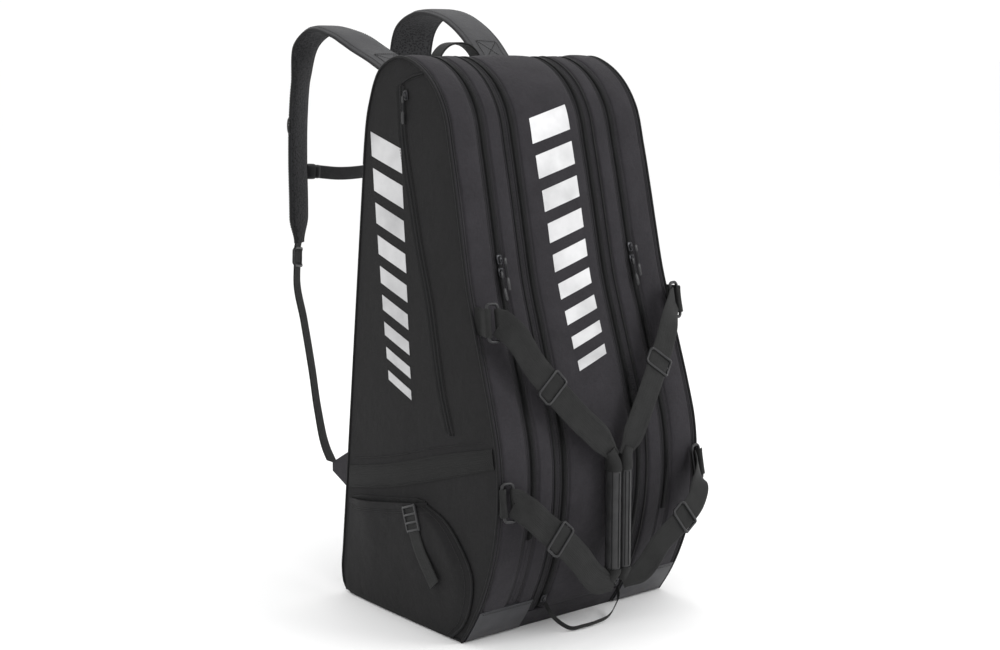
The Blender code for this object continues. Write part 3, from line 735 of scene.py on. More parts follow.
# ---- covers: side panel, outer gusset, rear corner -----------------------------------
for side, s in (("left", -1), ("right", 1)):
    g = Geo()
    zs = [0.0008 + (HEIGHT - 0.0020) * (1 - (1 - i / 88) ** 1.35) for i in range(89)]

    def side_fn(u, v):
        z = zs[min(88, int(round(v * 88)))]
        yf, yb = front_y(z), back_y(z)
        y = yf + (yb - yf) * (0.004 + 0.992 * u)
        return on_side(s, y, z, -0.0003), Vector((s, 0, 0))

    g.shell(side_fn, 44, 88, 0.004, lambda u, v: (u * 0.34, v * 0.9), 1)
    ob = cover(g.make(side + "_side_panel", ["side", "lining"]))
    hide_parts(side + "_side_cover")
    g = Geo()
    strip(g, 0.0, S_REAR, s * (ZIP_X + TAPE), s * (HALF_W - 0.0006), puff=0.0030, wob=0.0012, ds=0.008, seed=30 + s, grooves=GROOVE["outer"])
    strip(g, 0.0, S_ZIP + 0.0012, s * (ZIP_X + 0.0008), s * (ZIP_X + TAPE), puff=0, wob=0)
    cover(g.make(side + "_outer_gusset", ["shell", "lining"]))
    g = Geo()
    strip(g, S_REAR + 0.0003, S_BACK, s * (ZIP_X + TAPE), s * (HALF_W - 0.0006), puff=0.0015, wob=0.0, ds=0.004, seed=40 + s)
    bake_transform(g.make(side + "_rear_gusset", ["shell", "lining"]))

# ---- piping and stitching -------------------------------------------------------------
g = Geo()
for x in (-SEAM, SEAM):
    p, _ = line_on(0.002, S_BACK, x, 0.0002)
    g.tube(p, 0.0015)
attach(g.make("divider_piping", "piping"), "bag")
g = Geo()
for s in (-1, 1):
    p, _ = line_on(S_BACK, RUN_L - 0.010, s * HALF_W, 0.0002)
    g.tube(p, 0.0018)
rim = [Vector((s1 * (HALF_W - 0.0004 + bulge(s1, ya + (yb - ya) * q / 30, 0.003)), ya + (yb - ya) * q / 30, 0.0030))
       for s1, order in ((-1, range(31)), (1, range(30, -1, -1))) for q in order]
g.tube(resample(rim + rim[:1], 0.01)[0], 0.0018)
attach(g.make("base_and_back_piping", "piping"), "bag")
for side, s in (("left", -1), ("right", 1)):
    g = Geo()
    p, _ = line_on(0.002, S_REAR, s * (HALF_W + 0.0002), 0.0004)
    g.tube(p, 0.0019)
    p, _ = line_on(0.002, S_REAR, s * (HALF_W - 0.0052), 0.0006)
    g.tube(p, 0.0011)
    cover(g.make(side + "_edge_piping", "piping"))
    g = Geo()
    p, _ = line_on(S_REAR, S_BACK, s * (HALF_W + 0.0002), 0.0004, 0.003)
    g.tube(p, 0.0019)
    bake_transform(g.make(side + "_rear_piping", "piping"))
    g = Geo()
    for x in GROOVE["outer"]:
        e = 1 - abs(2 * (x - ZIP_X - TAPE) / (HALF_W - 0.0006 - ZIP_X - TAPE) - 1) ** 3
        p, n = line_on(0.01, S_REAR - 0.004, s * x, 0.0030 * e - 0.0014)
        g.stitches(p, n)
    cover(g.make(side + "_cover_stitching", "thread"))
g = Geo()
for s in (-1, 1):
    for x in GROOVE["inner"]:
        e = 1 - abs(2 * (x - SEAM - 0.001) / (ZIP_X - TAPE - SEAM - 0.001) - 1) ** 3
        p, n = line_on(0.01, S_BACK, s * x, 0.0018 * e - 0.0014)
        g.stitches(p, n)
    for x in GROOVE["edge"]:
        p, n = line_on(S_LOW + 0.004, S_BACK, s * x, -0.0011)
        g.stitches(p, n)
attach(g.make("fixed_stitching", "thread"), "bag")
g = Geo()
for s in (-1, 1):
    for x in GROOVE["flap"]:
        p, n = line_on(S_LOW + 0.004, S_BACK, s * x, flap_o(0.3, s * x) - 0.0014)
        g.stitches(p, n)
flap_blend(g.make("flap_stitching", "thread"))


# ---- zips -----------------------------------------------------------------------------
def zip_half(g_tape, g_coil, x0, sgn, s0, s1, phase):
    """One side of a coil zip: woven tape and its half of the teeth."""
    xa, xb = x0 + sgn * 0.0004, x0 + sgn * (TAPE + 0.0012)
    n = max(2, int((s1 - s0) / 0.008))

    def fn(u, v):
        s = s0 + (s1 - s0) * v
        return at(s, xa + (xb - xa) * u, -0.0004), nrm(s)

    g_tape.shell(fn, 3, n, 0.0008, lambda u, v: ((xb - xa) * u, (s1 - s0) * v))
    s = s0 + 0.001 + phase
    while s < s1 - 0.001:
        nn = nrm(s)
        t = Vector((0, -nn.z, nn.y)) if nn.y > 0 else Vector((0, nn.z, -nn.y))
        t = (at(s + 0.002, x0) - at(s - 0.002, x0)).normalized()
        w = t.cross(nn).normalized()
        c = at(s, x0 + sgn * 0.0009, 0.0003)
        g_coil.bar(c, w, t, nn, 0.0046, 0.0010, 0.0017)
        s += 0.0023


for side, s in (("left", -1), ("right", 1)):
    gt, gc = Geo(), Geo()
    zip_half(gt, gc, s * ZIP_X, s, S_ZIP, S_REAR, 0.0)
    cover(gt.make(side + "_zip_tape_outer", "tape"))
    cover(gc.make(side + "_zip_coil_outer", "coil"))
    gt, gc = Geo(), Geo()
    zip_half(gt, gc, s * ZIP_X, s, S_REAR, S_CUT, 0.0)
    for gg, nm, mt in ((gt, "_zip_tape_rear", "tape"), (gc, "_zip_coil_rear", "coil")):
        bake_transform(gg.make(side + nm, mt))
gt, gc = Geo(), Geo()
for s in (-1, 1):
    zip_half(gt, gc, s * ZIP_X, -s, S_ZIP, S_CUT, 0.00115)
    zip_half(gt, gc, s * FLAP_X, s, S_LOW + 0.008, S_CUT, 0.00115)
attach(gt.make("fixed_zip_tapes", "tape"), "bag")
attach(gc.make("fixed_zip_coils", "coil"), "bag")
gt, gc = Geo(), Geo()
for s in (-1, 1):
    zip_half(gt, gc, s * FLAP_X, -s, S_LOW + 0.008, S_CUT, 0.0)
flap_blend(gt.make("flap_zip_tapes", "tape"))
flap_blend(gc.make("flap_zip_coils", "coil"))


# ---- zip sliders and pullers -------------------------------------------------------------
def frame_at(c, along, normal):
    t = Vector(along).normalized()
    nn = Vector(normal)
    nn = (nn - t * nn.dot(t)).normalized()
    return Vector(c), t, t.cross(nn).normalized(), nn


def slope_frame(x0, z, off, a0, a1):
    (y0, z0), (y1, z1) = a0, a1
    a, c = Vector((x0 * k(z0), y0, z0)), Vector((x0 * k(z1), y1, z1))
    t = (c - a).normalized()
    p = a + (c - a) * ((z - z0) / (z1 - z0))
    n = Vector((0, -t.z, t.y)).normalized()
    return frame_at(p + n * off, t, n)


def slider_fine(name, fr, body, node):
    c, t, w, n = fr
    g = Geo()
    pr = pad_prof(8, 3.2)
    g.sweep([c + n * 0.0014 - t * 0.0064, c + n * 0.0014 - t * 0.0054, c + n * 0.0014 + t * 0.002, c + n * 0.0014 + t * 0.0056, c + n * 0.0014 + t * 0.0064],
            w, pr, [0.0062, 0.0072, 0.0094, 0.0088, 0.0070], [0.0014, 0.0024, 0.0026, 0.0024, 0.0014])
    bail = [c + n * 0.0018 - t * 0.0042, c + n * 0.0040 - t * 0.0040, c + n * 0.0050 - t * 0.0022, c + n * 0.0050 + t * 0.0016, c + n * 0.0040 + t * 0.0036, c + n * 0.0018 + t * 0.0040]
    g.sweep(curve(bail, 0.0008), w, pad_prof(6, 2.4), 0.0030, 0.0011)
    ob = g.make(name + "_cast", "metal")
    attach(ob, body)
    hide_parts(node)


def puller_fine(name, fr, dx, lift, length, drop, body, node):
    c, t, w, n = fr
    top = c + w * dx + n * lift - t * drop
    g = Geo()
    g.bar(top - t * 0.0035, t, w, n, 0.0090, 0.0042, 0.0020, mat=0)
    for d in (-0.00085, 0.00085):
        p = [top - t * 0.005 + w * d * 0.6, top - t * 0.010 + w * d, top - t * (length - 0.020) + w * d, top - t * (length - 0.015) + w * d * 0.8]
        g.tube(curve(p, 0.003), 0.00082, mat=1)
    g.bar(top - t * (length - 0.0085), t, w, n, 0.0165, 0.0050, 0.0030, mat=0)
    for q in (-0.003, 0.0, 0.003):
        g.bar(top - t * (length - 0.0085 + q) + n * 0.0014, w, t, n, 0.0040, 0.0009, 0.0007, mat=0)
    ob = g.make(name + "_corded", ["plastic", "cord"])
    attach(ob, body)
    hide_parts(node)


UPPER, LOWER = (FRONT_KNEES[1], FRONT_KNEES[2]), (FRONT_KNEES[0], FRONT_KNEES[1])
for side, s in (("left", -1), ("right", 1)):
    fu = slope_frame(s * ZIP_X, 0.5050, 0.0016, *UPPER)
    slider_fine(side + "_slider_upper", fu, side + "_upper_zip", side + "_zip_slider_upper")
    puller_fine(side + "_puller_upper", fu, 0.0029, 0.0100, 0.042, 0.0, side + "_upper_zip_pull", side + "_zip_puller_upper")
    fl = slope_frame(s * ZIP_X, 0.4880, 0.0016, *UPPER)
    fl = frame_at(fl[0], slope_frame(s * ZIP_X, 0.40, 0.0016, *LOWER)[1], fl[3])
    slider_fine(side + "_slider_lower", fl, side + "_lower_zip", side + "_zip_slider_lower")
    puller_fine(side + "_puller_lower", fl, -0.0029, 0.0066, 0.038, 0.0, side + "_lower_zip_pull", side + "_zip_puller_lower")
slider_fine("centre_slider_left", cl, "centre_zip_pair", "centre_zip_slider_left")
slider_fine("centre_slider_right", cr, "centre_zip_pair", "centre_zip_slider_right")


# ---- side pocket zip on the left cover -----------------------------------------------------
def side_flat(s, y, z, off):
    return Vector((s * (HALF_W * k(z) + off), y, z))


PZ_TOP, PZ_LOW = (-0.0040, 0.727), (-0.0800, 0.395)
a, c = side_flat(-1, *PZ_LOW, 0.0014), side_flat(-1, *PZ_TOP, 0.0014)
pz = c + (a - c) * 0.035
sf = frame_at(pz, c - a, (-1, 0, -0.018))
slider_fine("left_pocket_slider", sf, "left_pocket_zip", "left_pocket_zip_slider")
cdir = frame_at(sf[0], (0, 0.02, 1), (-1, 0, -0.018))
puller_fine("left_pocket_puller", cdir, 0.0, 0.0068, 0.036, 0.002, "left_pocket_zip_pull", "left_pocket_zip_puller")
# the zip follows the seam line down the side panel, between a pair of stitched lips
PZ = curve([(0.006, 0.7275, 0), (-0.002, 0.657, 0), (-0.0236, 0.579, 0), (-0.0425, 0.514, 0), (-0.0640, 0.450, 0), (-0.0800, 0.386, 0), (-0.0930, 0.334, 0), (-0.1130, 0.278, 0)], 0.006)
gt, gc, gs = Geo(), Geo(), Geo()
mid = [on_side(-1, p.x, p.y, 0.0004) for p in PZ]
L_side = Vector((-1, 0, -0.018)).normalized()
gt.sweep(mid, [(0, 1, 0.25)] * len(mid), flat_prof(4), 0.0110, 0.0012)
for i, c in enumerate(resample(mid, 0.0023)[0]):
    j = 1 if i % 2 else -1
    gc.bar(c + L_side * 0.0007 + Vector((0, 0.0006 * j, 0)), Vector((0, 1, 0.22)).normalized(), Vector((0, -0.22, 1)).normalized(), L_side, 0.0046, 0.0010, 0.0015)
for d in (-0.0078, 0.0078, 0.0105):
    gs.stitches([on_side(-1, p.x + d, p.y, 0.0002) for p in PZ], L_side)
for d in (-0.0062, 0.0062):
    gt.tube([on_side(-1, p.x + d, p.y, 0.0004) for p in PZ], 0.0012, 6)
TS = curve([(-0.0420, 0.7445, 0), (-0.0180, 0.7400, 0), (0.0060, 0.7300, 0)], 0.004)
gt.tube([on_side(-1, p.x, p.y, 0.0003) for p in TS], 0.0012, 6)
gs.stitches([on_side(-1, p.x, p.y - 0.003, 0.0002) for p in TS], L_side)
cover(gt.make("left_pocket_zip_tape", "tape"))
cover(gc.make("left_pocket_zip_coil", "coil"))
cover(gs.make("left_pocket_zip_stitching", "thread"))

# silver bars on the side panels, generic as on the flap
for side, s in (("left", -1), ("right", 1)):
    g = Geo()
    z = 0.655
    for i in range(9):
        h = 0.0330 - 0.0025 * i
        # bars run in the clear field behind the pocket zip
        def fn(u, v):
            zz = z - h * (1 - v) + (u - 0.5) * 0.020
            yc = 0.041 - (0.655 - zz) * 0.120
            y = yc + 0.0355 * (2 * u - 1) * (1 - 0.035 * i)
            return on_side(s, y, zz, 0.0003), Vector((s, 0, 0))

        g.shell(fn, 14, 8, 0.0004, lambda u, v: (u * 0.06, v * 0.03))
        z -= h + 0.0160
    cover(g.make(side + "_side_silver_bars", "silver"))

# ---- toe patches, band, pocket ----------------------------------------------------------------
for side, s in (("left", -1), ("right", 1)):
    g = Geo()
    strip(g, s_front(0.004), s_front(0.050), s * (SEAM + 0.003), s * (HALF_W - 0.004), puff=0.0012, off=0.0030, thick=0.0034, ds=0.004, wob=0.0003, inner=0)
    ob = g.make(side + "_toe_patch_coated", "coated")
    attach(ob, "bag")
    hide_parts(side + "_toe_patch")
    g = Geo()
    for z in (0.047,):
        p = [at(s_front(z), s * (SEAM + 0.005 + (HALF_W - SEAM - 0.012) * i / 20), 0.0042) for i in range(21)]
        g.stitches(p, nrm(s_front(z)))
    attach(g.make(side + "_toe_stitching", "thread"), "bag")
    # stiff band across the side
    top = [(0.128, 0.190), (0.020, 0.2145), (-0.0899, 0.2470), (-0.196, 0.2745)]
    low = [(0.129, 0.157), (0.020, 0.1805), (-0.0904, 0.2130), (-0.201, 0.2480)]
    T, B = resample(curve([(y, z, 0) for y, z in top], 0.01), 0.008)[0], resample(curve([(y, z, 0) for y, z in low], 0.01), 0.008)[0]
    nb = 40
    T = [T[int(i * (len(T) - 1) / nb)] for i in range(nb + 1)]
    B = [B[int(i * (len(B) - 1) / nb)] for i in range(nb + 1)]
    g = Geo()

    def band(u, v):
        i = int(round(u * nb))
        p = B[i].lerp(T[i], v)
        e = 1 - abs(2 * v - 1) ** 4
        return on_side(s, p.x, p.y, 0.0006 + 0.0010 * e), Vector((s, 0, 0))

    g.shell(band, nb, 6, 0.0012, lambda u, v: (v * 0.024, u * 0.32))
    ob = cover(g.make(side + "_side_band_webbing", "band"))
    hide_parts(side + "_side_band")
    g = Geo()
    for v in (0.10, 0.90, 1.30):
        g.stitches([on_side(s, B[i].lerp(T[i], v).x, B[i].lerp(T[i], v).y, 0.0012 if v < 1 else 0.0002) for i in range(1, nb)], Vector((s, 0, 0)))
    cover(g.make(side + "_band_stitching", "thread"))
    # pouch with a rolled hem along its open top edge
    KB = [(0.118, 0.137), (0.118, 0.012)]
    TP = curve([(0.126, 0.139, 0), (0.060, 0.149, 0), (-0.012, 0.162, 0), (-0.064, 0.172, 0)], 0.004)
    FP = curve([(-0.064, 0.172, 0), (-0.107, 0.158, 0), (-0.136, 0.134, 0), (-0.160, 0.098, 0), (-0.158, 0.060, 0), (-0.142, 0.026, 0), (-0.118, 0.004, 0)], 0.004)

    def pick(L, t):
        f = min(max(t, 0.0), 1.0) * (len(L) - 1)
        i = min(int(f), len(L) - 2)
        return L[i].lerp(L[i + 1], f - i)

    def coons(u, v):
        kb = Vector((0.126 + 0.012 * v, 0.139 + (0.004 - 0.139) * v, 0))
        bt = Vector((0.138 + (-0.118 - 0.138) * u, 0.004, 0))
        c00, c10 = Vector((0.126, 0.139, 0)), Vector((-0.064, 0.172, 0))
        c01, c11 = Vector((0.138, 0.004, 0)), Vector((-0.118, 0.004, 0))
        lin = c00 * (1 - u) * (1 - v) + c10 * u * (1 - v) + c01 * (1 - u) * v + c11 * u * v
        return pick(TP, u) * (1 - v) + bt * v + kb * (1 - u) + pick(FP, v) * u - lin

    def pouch_off(u, v):
        e = sstep(u, -0.05, 0.30) * sstep(1 - u, 0.0, 0.10) * sstep(1 - v, -0.02, 0.75)
        sag = 1 + 0.10 * noise.noise(Vector((u * 4, v * 3, 7 * s)))
        return 0.0013 + 0.0100 * e * sag + 0.0006 * e * noise.noise(Vector((u * 14, v * 9, s)))

    g = Geo()

    def pouch(u, v):
        p = coons(u, v)
        return on_side(s, p.x, p.y, pouch_off(u, v)), Vector((s, 0, 0))

    g.shell(pouch, 46, 28, 0.0012, lambda u, v: (u * 0.25, v * 0.15), 0)
    ob = g.make(side + "_side_pouch", "side")
    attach(ob, "bag")
    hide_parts(side + "_side_pocket")
    g = Geo()
    hem = [on_side(s, coons(i / 40, 0).x, coons(i / 40, 0).y, pouch_off(i / 40, 0) - 0.0004) for i in range(41)]
    g.sweep(hem, (0, 0.15, 1), pad_prof(6, 3), 0.0095, 0.0024)
    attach(g.make(side + "_pocket_hem", "side"), "bag")
    # dark strip just above the hem, in the dark piping material: painted shadow in the gap of the pocket's opening
    g = Geo()
    gap_shade_pts = [on_side(s, coons(i / 40, 0).x, coons(i / 40, 0).y + 0.0058, 0.0007) for i in range(1, 40)]
    g.sweep(gap_shade_pts, (0, 0.15, 1), WEB, [0.0100 * min(1.0, min(i, 38 - i) / 5 + 0.15) for i in range(39)], 0.0012)
    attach(g.make(side + "_pocket_gap_painted_shade", "piping"), "bag")
    g = Geo()
    fr = [on_side(s, coons(1, i / 30).x + 0.001, coons(1, i / 30).y, 0.0016) for i in range(31)]
    g.tube(fr, 0.0020)
    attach(g.make(side + "_pocket_piping", "piping"), "bag")
    g = Geo()
    for uu in (0.955,):
        q = [on_side(s, coons(uu, i / 30).x, coons(uu, i / 30).y, pouch_off(uu, i / 30) + 0.0003) for i in range(31)]
        g.stitches(q, Vector((s, 0, 0)))
    q = [on_side(s, coons(i / 40, 0.075).x, coons(i / 40, 0.075).y, pouch_off(i / 40, 0.075) + 0.0003) for i in range(1, 40)]
    g.stitches(q, Vector((s, 0, 0)))
    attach(g.make(side + "_pocket_stitching", "thread"), "bag")


# ---- hardware ------------------------------------------------------------------------------------
def glide_fine(name, fr, length, web, bars, body, node, mat="plastic"):
    """Moulded strap slider: rounded outer frame with the cross bars the strap threads."""
    c, t, w, n = fr
    g = Geo()
    hl, hw, cr_ = length / 2 - 0.0014, web / 2 + 0.0025, 0.0045
    path = []
    for sx, sy, a0 in ((1, 1, 0), (-1, 1, 90), (-1, -1, 180), (1, -1, 270)):
        for da in range(0, 91, 15):
            a = math.radians(a0 + da)
            path.append(c + t * (sx * (hl - cr_) + cr_ * math.cos(a)) + w * (sy * (hw - cr_) + cr_ * math.sin(a)))
    m = len(path)
    outw = []
    for i, p in enumerate(path):
        d = (path[(i + 1) % m] - path[(i - 1) % m]).normalized()
        outw.append(d.cross(n).normalized())
    # the two end bars arch over the webbing, so the frame rises at its ends
    lift = [n * (0.0020 * sstep(abs((p - c).dot(t)), hl * 0.62, hl)) for p in path]
    g.sweep([p + q for p, q in zip(path, lift)], outw, pad_prof(5, 2.8), 0.0034, 0.0030, close=True)
    for pos, side, half in bars:
        if abs(pos) > length * 0.35:
            continue
        d = n * (side * 0.0022)
        p = [c + t * pos + w * (hw * q) + d * (1 - abs(q) ** 6) for q in [x / 10 for x in range(-10, 11)]]
        g.sweep(p, t, pad_prof(5, 2.8), 2 * half + 0.0006, 0.0020)
    ob = g.make(name + "_moulded", mat)
    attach(ob, body)
    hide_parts(node)
    return ob


def ring_fine(name, fr, long, short, r, body, node):
    c, t, w, n = fr
    path, cr_ = [], 0.0052
    for sx, sy, a0 in ((1, 1, 0), (-1, 1, 90), (-1, -1, 180), (1, -1, 270)):
        for da in range(0, 91, 15):
            a = math.radians(a0 + da)
            path.append(c + t * (sx * (long / 2 - cr_) + cr_ * math.cos(a)) + w * (sy * (short / 2 - cr_) + cr_ * math.sin(a)))
    g = Geo()
    g.sweep(path, [n] * len(path), circle(12), 2 * r, 2 * r, close=True)
    ob = g.make(name + "_moulded", "plastic")
    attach(ob, body)
    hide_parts(node)


def eye_path(bar, toward, normal, r, start, end, steps=17):
    a, b2 = Vector(toward).normalized(), Vector(normal).normalized()
    return [Vector(bar) + a * (r * math.cos(math.radians(q))) + b2 * (r * math.sin(math.radians(q)))
            for q in [start + (end - start) * i / (steps - 1) for i in range(steps)]]


def mirror(p, s):
    return Vector((s * p[0], p[1], p[2]))


AXIS_UP, AXIS_LOW = Vector((0.1540, -0.1800, 0.4320)), Vector((0.1620, -0.2210, 0.2070))
GRIP_TOP, GRIP_LOW, GRIP_Y, GRIP_C, HALF_GRIP = 0.232, 0.082, -0.2270, 0.0130, 0.0062
UP_L = [(0.1405, -0.1935, 0.418), (0.115, -0.2045, 0.376), (0.0905, -0.211, 0.345), (0.055, -0.2225, 0.303), (0.014, -0.2275, 0.264), (-0.005, -0.228, 0.2410)]
UP_R = [(0.1400, -0.1935, 0.418), (0.121, -0.203, 0.385), (0.1015, -0.2095, 0.356), (0.065, -0.221, 0.305), (0.037, -0.227, 0.264), (0.021, -0.228, 0.2410)]
W_UP = [(-0.25, 0.15, 0.95), (-0.52, 0.1, 0.82), (-0.63, 0.1, 0.76), (-0.70, 0.08, 0.70), (-0.90, 0.05, 0.42), (-1.0, 0.0, 0.05)]
LO_L = [(0.1465, -0.2365, 0.192), (0.126, -0.2410, 0.172), (0.103, -0.2420, 0.153), (0.068, -0.2400, 0.120), (0.030, -0.2340, 0.081), (-0.005, -0.2290, 0.0660)]
LO_R = [(0.1515, -0.2430, 0.198), (0.1400, -0.2500, 0.168), (0.1120, -0.2530, 0.146), (0.075, -0.2480, 0.117), (0.049, -0.2370, 0.079), (0.021, -0.2290, 0.0660)]
W_LO = [(-0.30, 0.1, 0.95), (-0.56, 0.05, 0.82), (-0.62, 0.0, 0.78), (-0.64, 0.0, 0.77), (-0.58, 0.0, 0.81), (-0.50, 0.0, 0.86)]


def lerp_list(vals, n):
    out = []
    for i in range(n):
        f = i / (n - 1) * (len(vals) - 1)
        j = min(int(f), len(vals) - 2)
        out.append(vals[j] + (vals[j + 1] - vals[j]) * (f - j))
    return out


def strap_fine(name, s, start, bar, ctrl, wide, way, body, node, end_w=0.020):
    way = mirror(way, s)
    way = (way - bar * way.dot(bar)).normalized()
    nn = bar.cross(way)
    if nn.y > 0:
        nn = -nn
    eye = eye_path(start, way, nn, BAR_R + 0.0008 + WEB_T / 2, 290, 80)
    ctrl_pts = [eye[-1]] + [mirror(p, s) for p in ctrl]
    mid = curve(ctrl_pts, 0.005)[1:]
    keys = [bar] + [mirror(w, s) for w in wide]
    keys = [w if w.dot(bar) > 0 else -w for w in keys]
    # widths directions follow the control points along the length
    cum = [0.0]
    for p, q in zip(ctrl_pts, ctrl_pts[1:]):
        cum.append(cum[-1] + (q - p).length)
    run_, L, wv = 0.0, cum[-1], []
    tot = length_of([eye[-1]] + mid)
    prev = eye[-1]
    for p in mid:
        run_ += (p - prev).length
        prev = p
        q = run_ / tot * L
        j = 0
        while j < len(cum) - 2 and cum[j + 1] < q:
            j += 1
        f = min(1.0, (q - cum[j]) / max(1e-9, cum[j + 1] - cum[j]))
        wv.append(keys[j].lerp(keys[j + 1], f))
    n = len(mid)
    W = []
    for i in range(n):
        a = i / (n - 1)
        base = 0.0370 + (WEB_W - 0.0370) * sstep(a, 0.02, 0.12)
        W.append(base + (end_w - base) * sstep(a, 0.84, 1.0))
    g = Geo()
    g.sweep(eye + mid, [bar] * len(eye) + wv, WEB, [WEB_W - 0.001] * (len(eye) - 3) + [0.0370, 0.0370, 0.0370] + W, WEB_T)
    ob = g.make(name + "_woven", "web")
    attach(ob, body)
    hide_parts(node)
    # edge stitching near the grip, where the strap is folded and sewn
    gs = Geo()
    for q in (-0.34, 0.34):
        pts, ns = [], []
        for i in range(n):
            if i / (n - 1) < 0.70:
                continue
            a, c = mid[max(0, i - 1)], mid[min(n - 1, i + 1)]
            t = (c - a).normalized()
            w = (wv[i] - t * wv[i].dot(t)).normalized()
            m2 = t.cross(w)
            m2 = -m2 if m2.y > 0 else m2
            pts.append(mid[i] + w * (W[i] * q) + m2 * (WEB_T / 2))
            ns.append(m2)
        gs.stitches(pts, ns, 0.0032, 0.00038, 0.0001)
    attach(gs.make(name + "_stitching", "thread"), body)


for side, s, ups, los in (("left", -1, UP_L, LO_L), ("right", 1, UP_R, LO_R)):
    up, low = mirror(AXIS_UP, s), mirror(AXIS_LOW, s)
    bar = (up - low).normalized()
    for nm, c in (("upper", up), ("lower", low)):
        inward = Vector((-s, 0.10, 0)).normalized()
        inward = (inward - bar * inward.dot(bar)).normalized()
        seat = c - inward * 0.0155 + Vector((0, 0.0045, 0))
        leg = (c - seat).normalized()
        fr = frame_at((c + seat) / 2, bar, bar.cross(leg))
        ring_fine(side + "_" + nm + "_ring", fr, WEB_W + 0.0105, (c - seat).length, BAR_R, side + "_cover", side + "_" + nm + "_ring")
        z = seat.z
        root = Vector((s * (HALF_W * k(z) - 0.0035), front_y(z) - 0.0036, z))
        away = (root - seat).normalized()
        nn = bar.cross(away) * (1 if bar.cross(away).y < 0 else -1)
        eye = eye_path(seat, away, nn, BAR_R + 0.0015, 275, 80)
        g = Geo()
        seam_pt = Vector((s * (HALF_W * k(z) - 0.0020), front_y(z) - 0.0008, z))
        tab = curve(eye + [root, seam_pt], 0.002)
        g.sweep(tab, bar, WEB, WEB_W - 0.0015, 0.0016)
        ob = g.make(side + "_" + nm + "_ring_tab_woven", "web")
        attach(ob, side + "_cover")
        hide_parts(side + "_" + nm + "_ring_tab")
    strap_fine(side + "_handle_upper", s, up, bar, ups, W_UP, (-1, -0.4, 0), side + "_handle", side + "_handle_upper_webbing")
    strap_fine(side + "_handle_lower", s, low, bar, los, W_LO, (-1, -0.7, 0), side + "_handle", side + "_handle_lower_webbing")
    for nm, ctrl, wd in (("upper", ups, W_UP), ("lower", los, W_LO)):
        a, c1, c2 = (mirror(ctrl[i], s) for i in (1, 2, 3))
        t = (c2 - a).normalized()
        w = mirror(wd[2], s)
        fr = frame_at(c1, t, t.cross((w - t * w.dot(t)).normalized()))
        if fr[3].y > 0:
            fr = (fr[0], fr[1], -fr[2], -fr[3])
        glide_fine(side + "_" + nm + "_glide", fr, 0.025, WEB_W, ((-0.0130, 1, 0.0017), (0.0, -1, 0.0016), (0.0130, 1, 0.0017)),
                   side + "_" + nm + "_glide", side + "_" + nm + "_tri_glide")
    # padded grip half: a stuffed roll in leather, drawn in at its ends, edged with piping
    x = GRIP_C + s * (HALF_GRIP + 0.0030)
    n = 44
    pts, W, T = [], [], []
    for i in range(n + 1):
        q = i / n
        z = GRIP_LOW + (GRIP_TOP - GRIP_LOW) * q
        e = min(1.0, min(q, 1 - q) / 0.07)
        e = math.sqrt(max(0.0, 1 - (1 - e) ** 2))
        rip = 1 + 0.025 * noise.noise(Vector((3 * s, 0, z * 90)))
        W.append((0.0080 + (2 * HALF_GRIP + 0.0056 - 0.0080) * e) * rip)
        T.append((0.0110 + (0.0225 - 0.0110) * e) * rip)
        pts.append(Vector((x, GRIP_Y, z)))
    g = Geo()
    g.sweep(pts, (1, 0, 0), pad_prof(12, 2.3), W, T)
    ob = g.make(side + "_grip_padded", "leather")
    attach(ob, side + "_handle")
    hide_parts(side + "_grip")
    g = Geo()
    edge = [Vector((x + s * (W[i] / 2 - 0.0008), GRIP_Y - T[i] * 0.30, pts[i].z)) for i in range(2, n - 1)]
    g.tube(edge, 0.0008, 6)
    for q in (0.0, 0.55):
        g.tube([Vector((x - s * (W[i] * 0.5 * q), GRIP_Y - T[i] * 0.5 * math.sqrt(1 - q * q) - 0.0001, pts[i].z)) for i in range(3, n - 2)], 0.0007, 6)
    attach(g.make(side + "_grip_piping", "piping"), side + "_handle")
    # the strap ends fold round the top and foot of the roll
    g = Geo()
    for z0, z1, lean in ((GRIP_TOP - 0.008, GRIP_TOP + 0.020, 0.30), (GRIP_LOW + 0.007, GRIP_LOW - 0.010, 0.30)):
        col = []
        for i in range(9):
            q = i / 8
            col.append(Vector((x + s * abs(z1 - z0) * lean * q * q, GRIP_Y - 0.0004 * q, z0 + (z1 - z0) * q)))
        g.sweep(col, (1, 0, 0), pad_prof(10, 2.6), [0.0192, 0.0196, 0.0194, 0.0190, 0.0184, 0.0176, 0.0168, 0.0160, 0.0152],
                [0.0240, 0.0244, 0.0236, 0.0216, 0.0190, 0.0160, 0.0130, 0.0104, 0.0084])
    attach(g.make(side + "_grip_collar", "web"), side + "_handle")

# ladder buckle and its webbing on the left pocket
lb = frame_at(side_flat(-1, -0.043, 0.1525, 0.0165), (0, -0.34, -0.94), (-1, 0, -0.02))
c, t, w, nn = lb
g = Geo()
glide_bars = ((-0.0162, 1, 0.0015), (-0.0055, 1, 0.0013), (0.0055, 1, 0.0013), (0.0162, 1, 0.0015))
for sgn in (-1, 1):
    g.bar(c + w * sgn * 0.0138, t, w, nn, 0.0370, 0.0034, 0.0040)
for pos, sd, half in glide_bars:
    g.bar(c + t * pos + nn * 0.0010, w, t, nn, 0.0285, 0.0034, 0.0026)
lbo = g.make("ladder_buckle_moulded", "plastic")
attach(lbo, "bag")
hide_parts("ladder_buckle")
bs = [side_flat(-1, -0.0369, 0.1693, 0.0160), side_flat(-1, -0.043, 0.1525, 0.0160), side_flat(-1, -0.0495, 0.1345, 0.0160),
      side_flat(-1, -0.060, 0.116, 0.0164), side_flat(-1, -0.080, 0.092, 0.0168), side_flat(-1, -0.097, 0.073, 0.0166)]
wd = [Vector(q) for q in ((0, 0.94, -0.34), (0, 0.94, -0.34), (0, 0.94, -0.34), (0, 0.88, -0.47), (0, 0.8, -0.6), (0, 0.72, -0.69))]
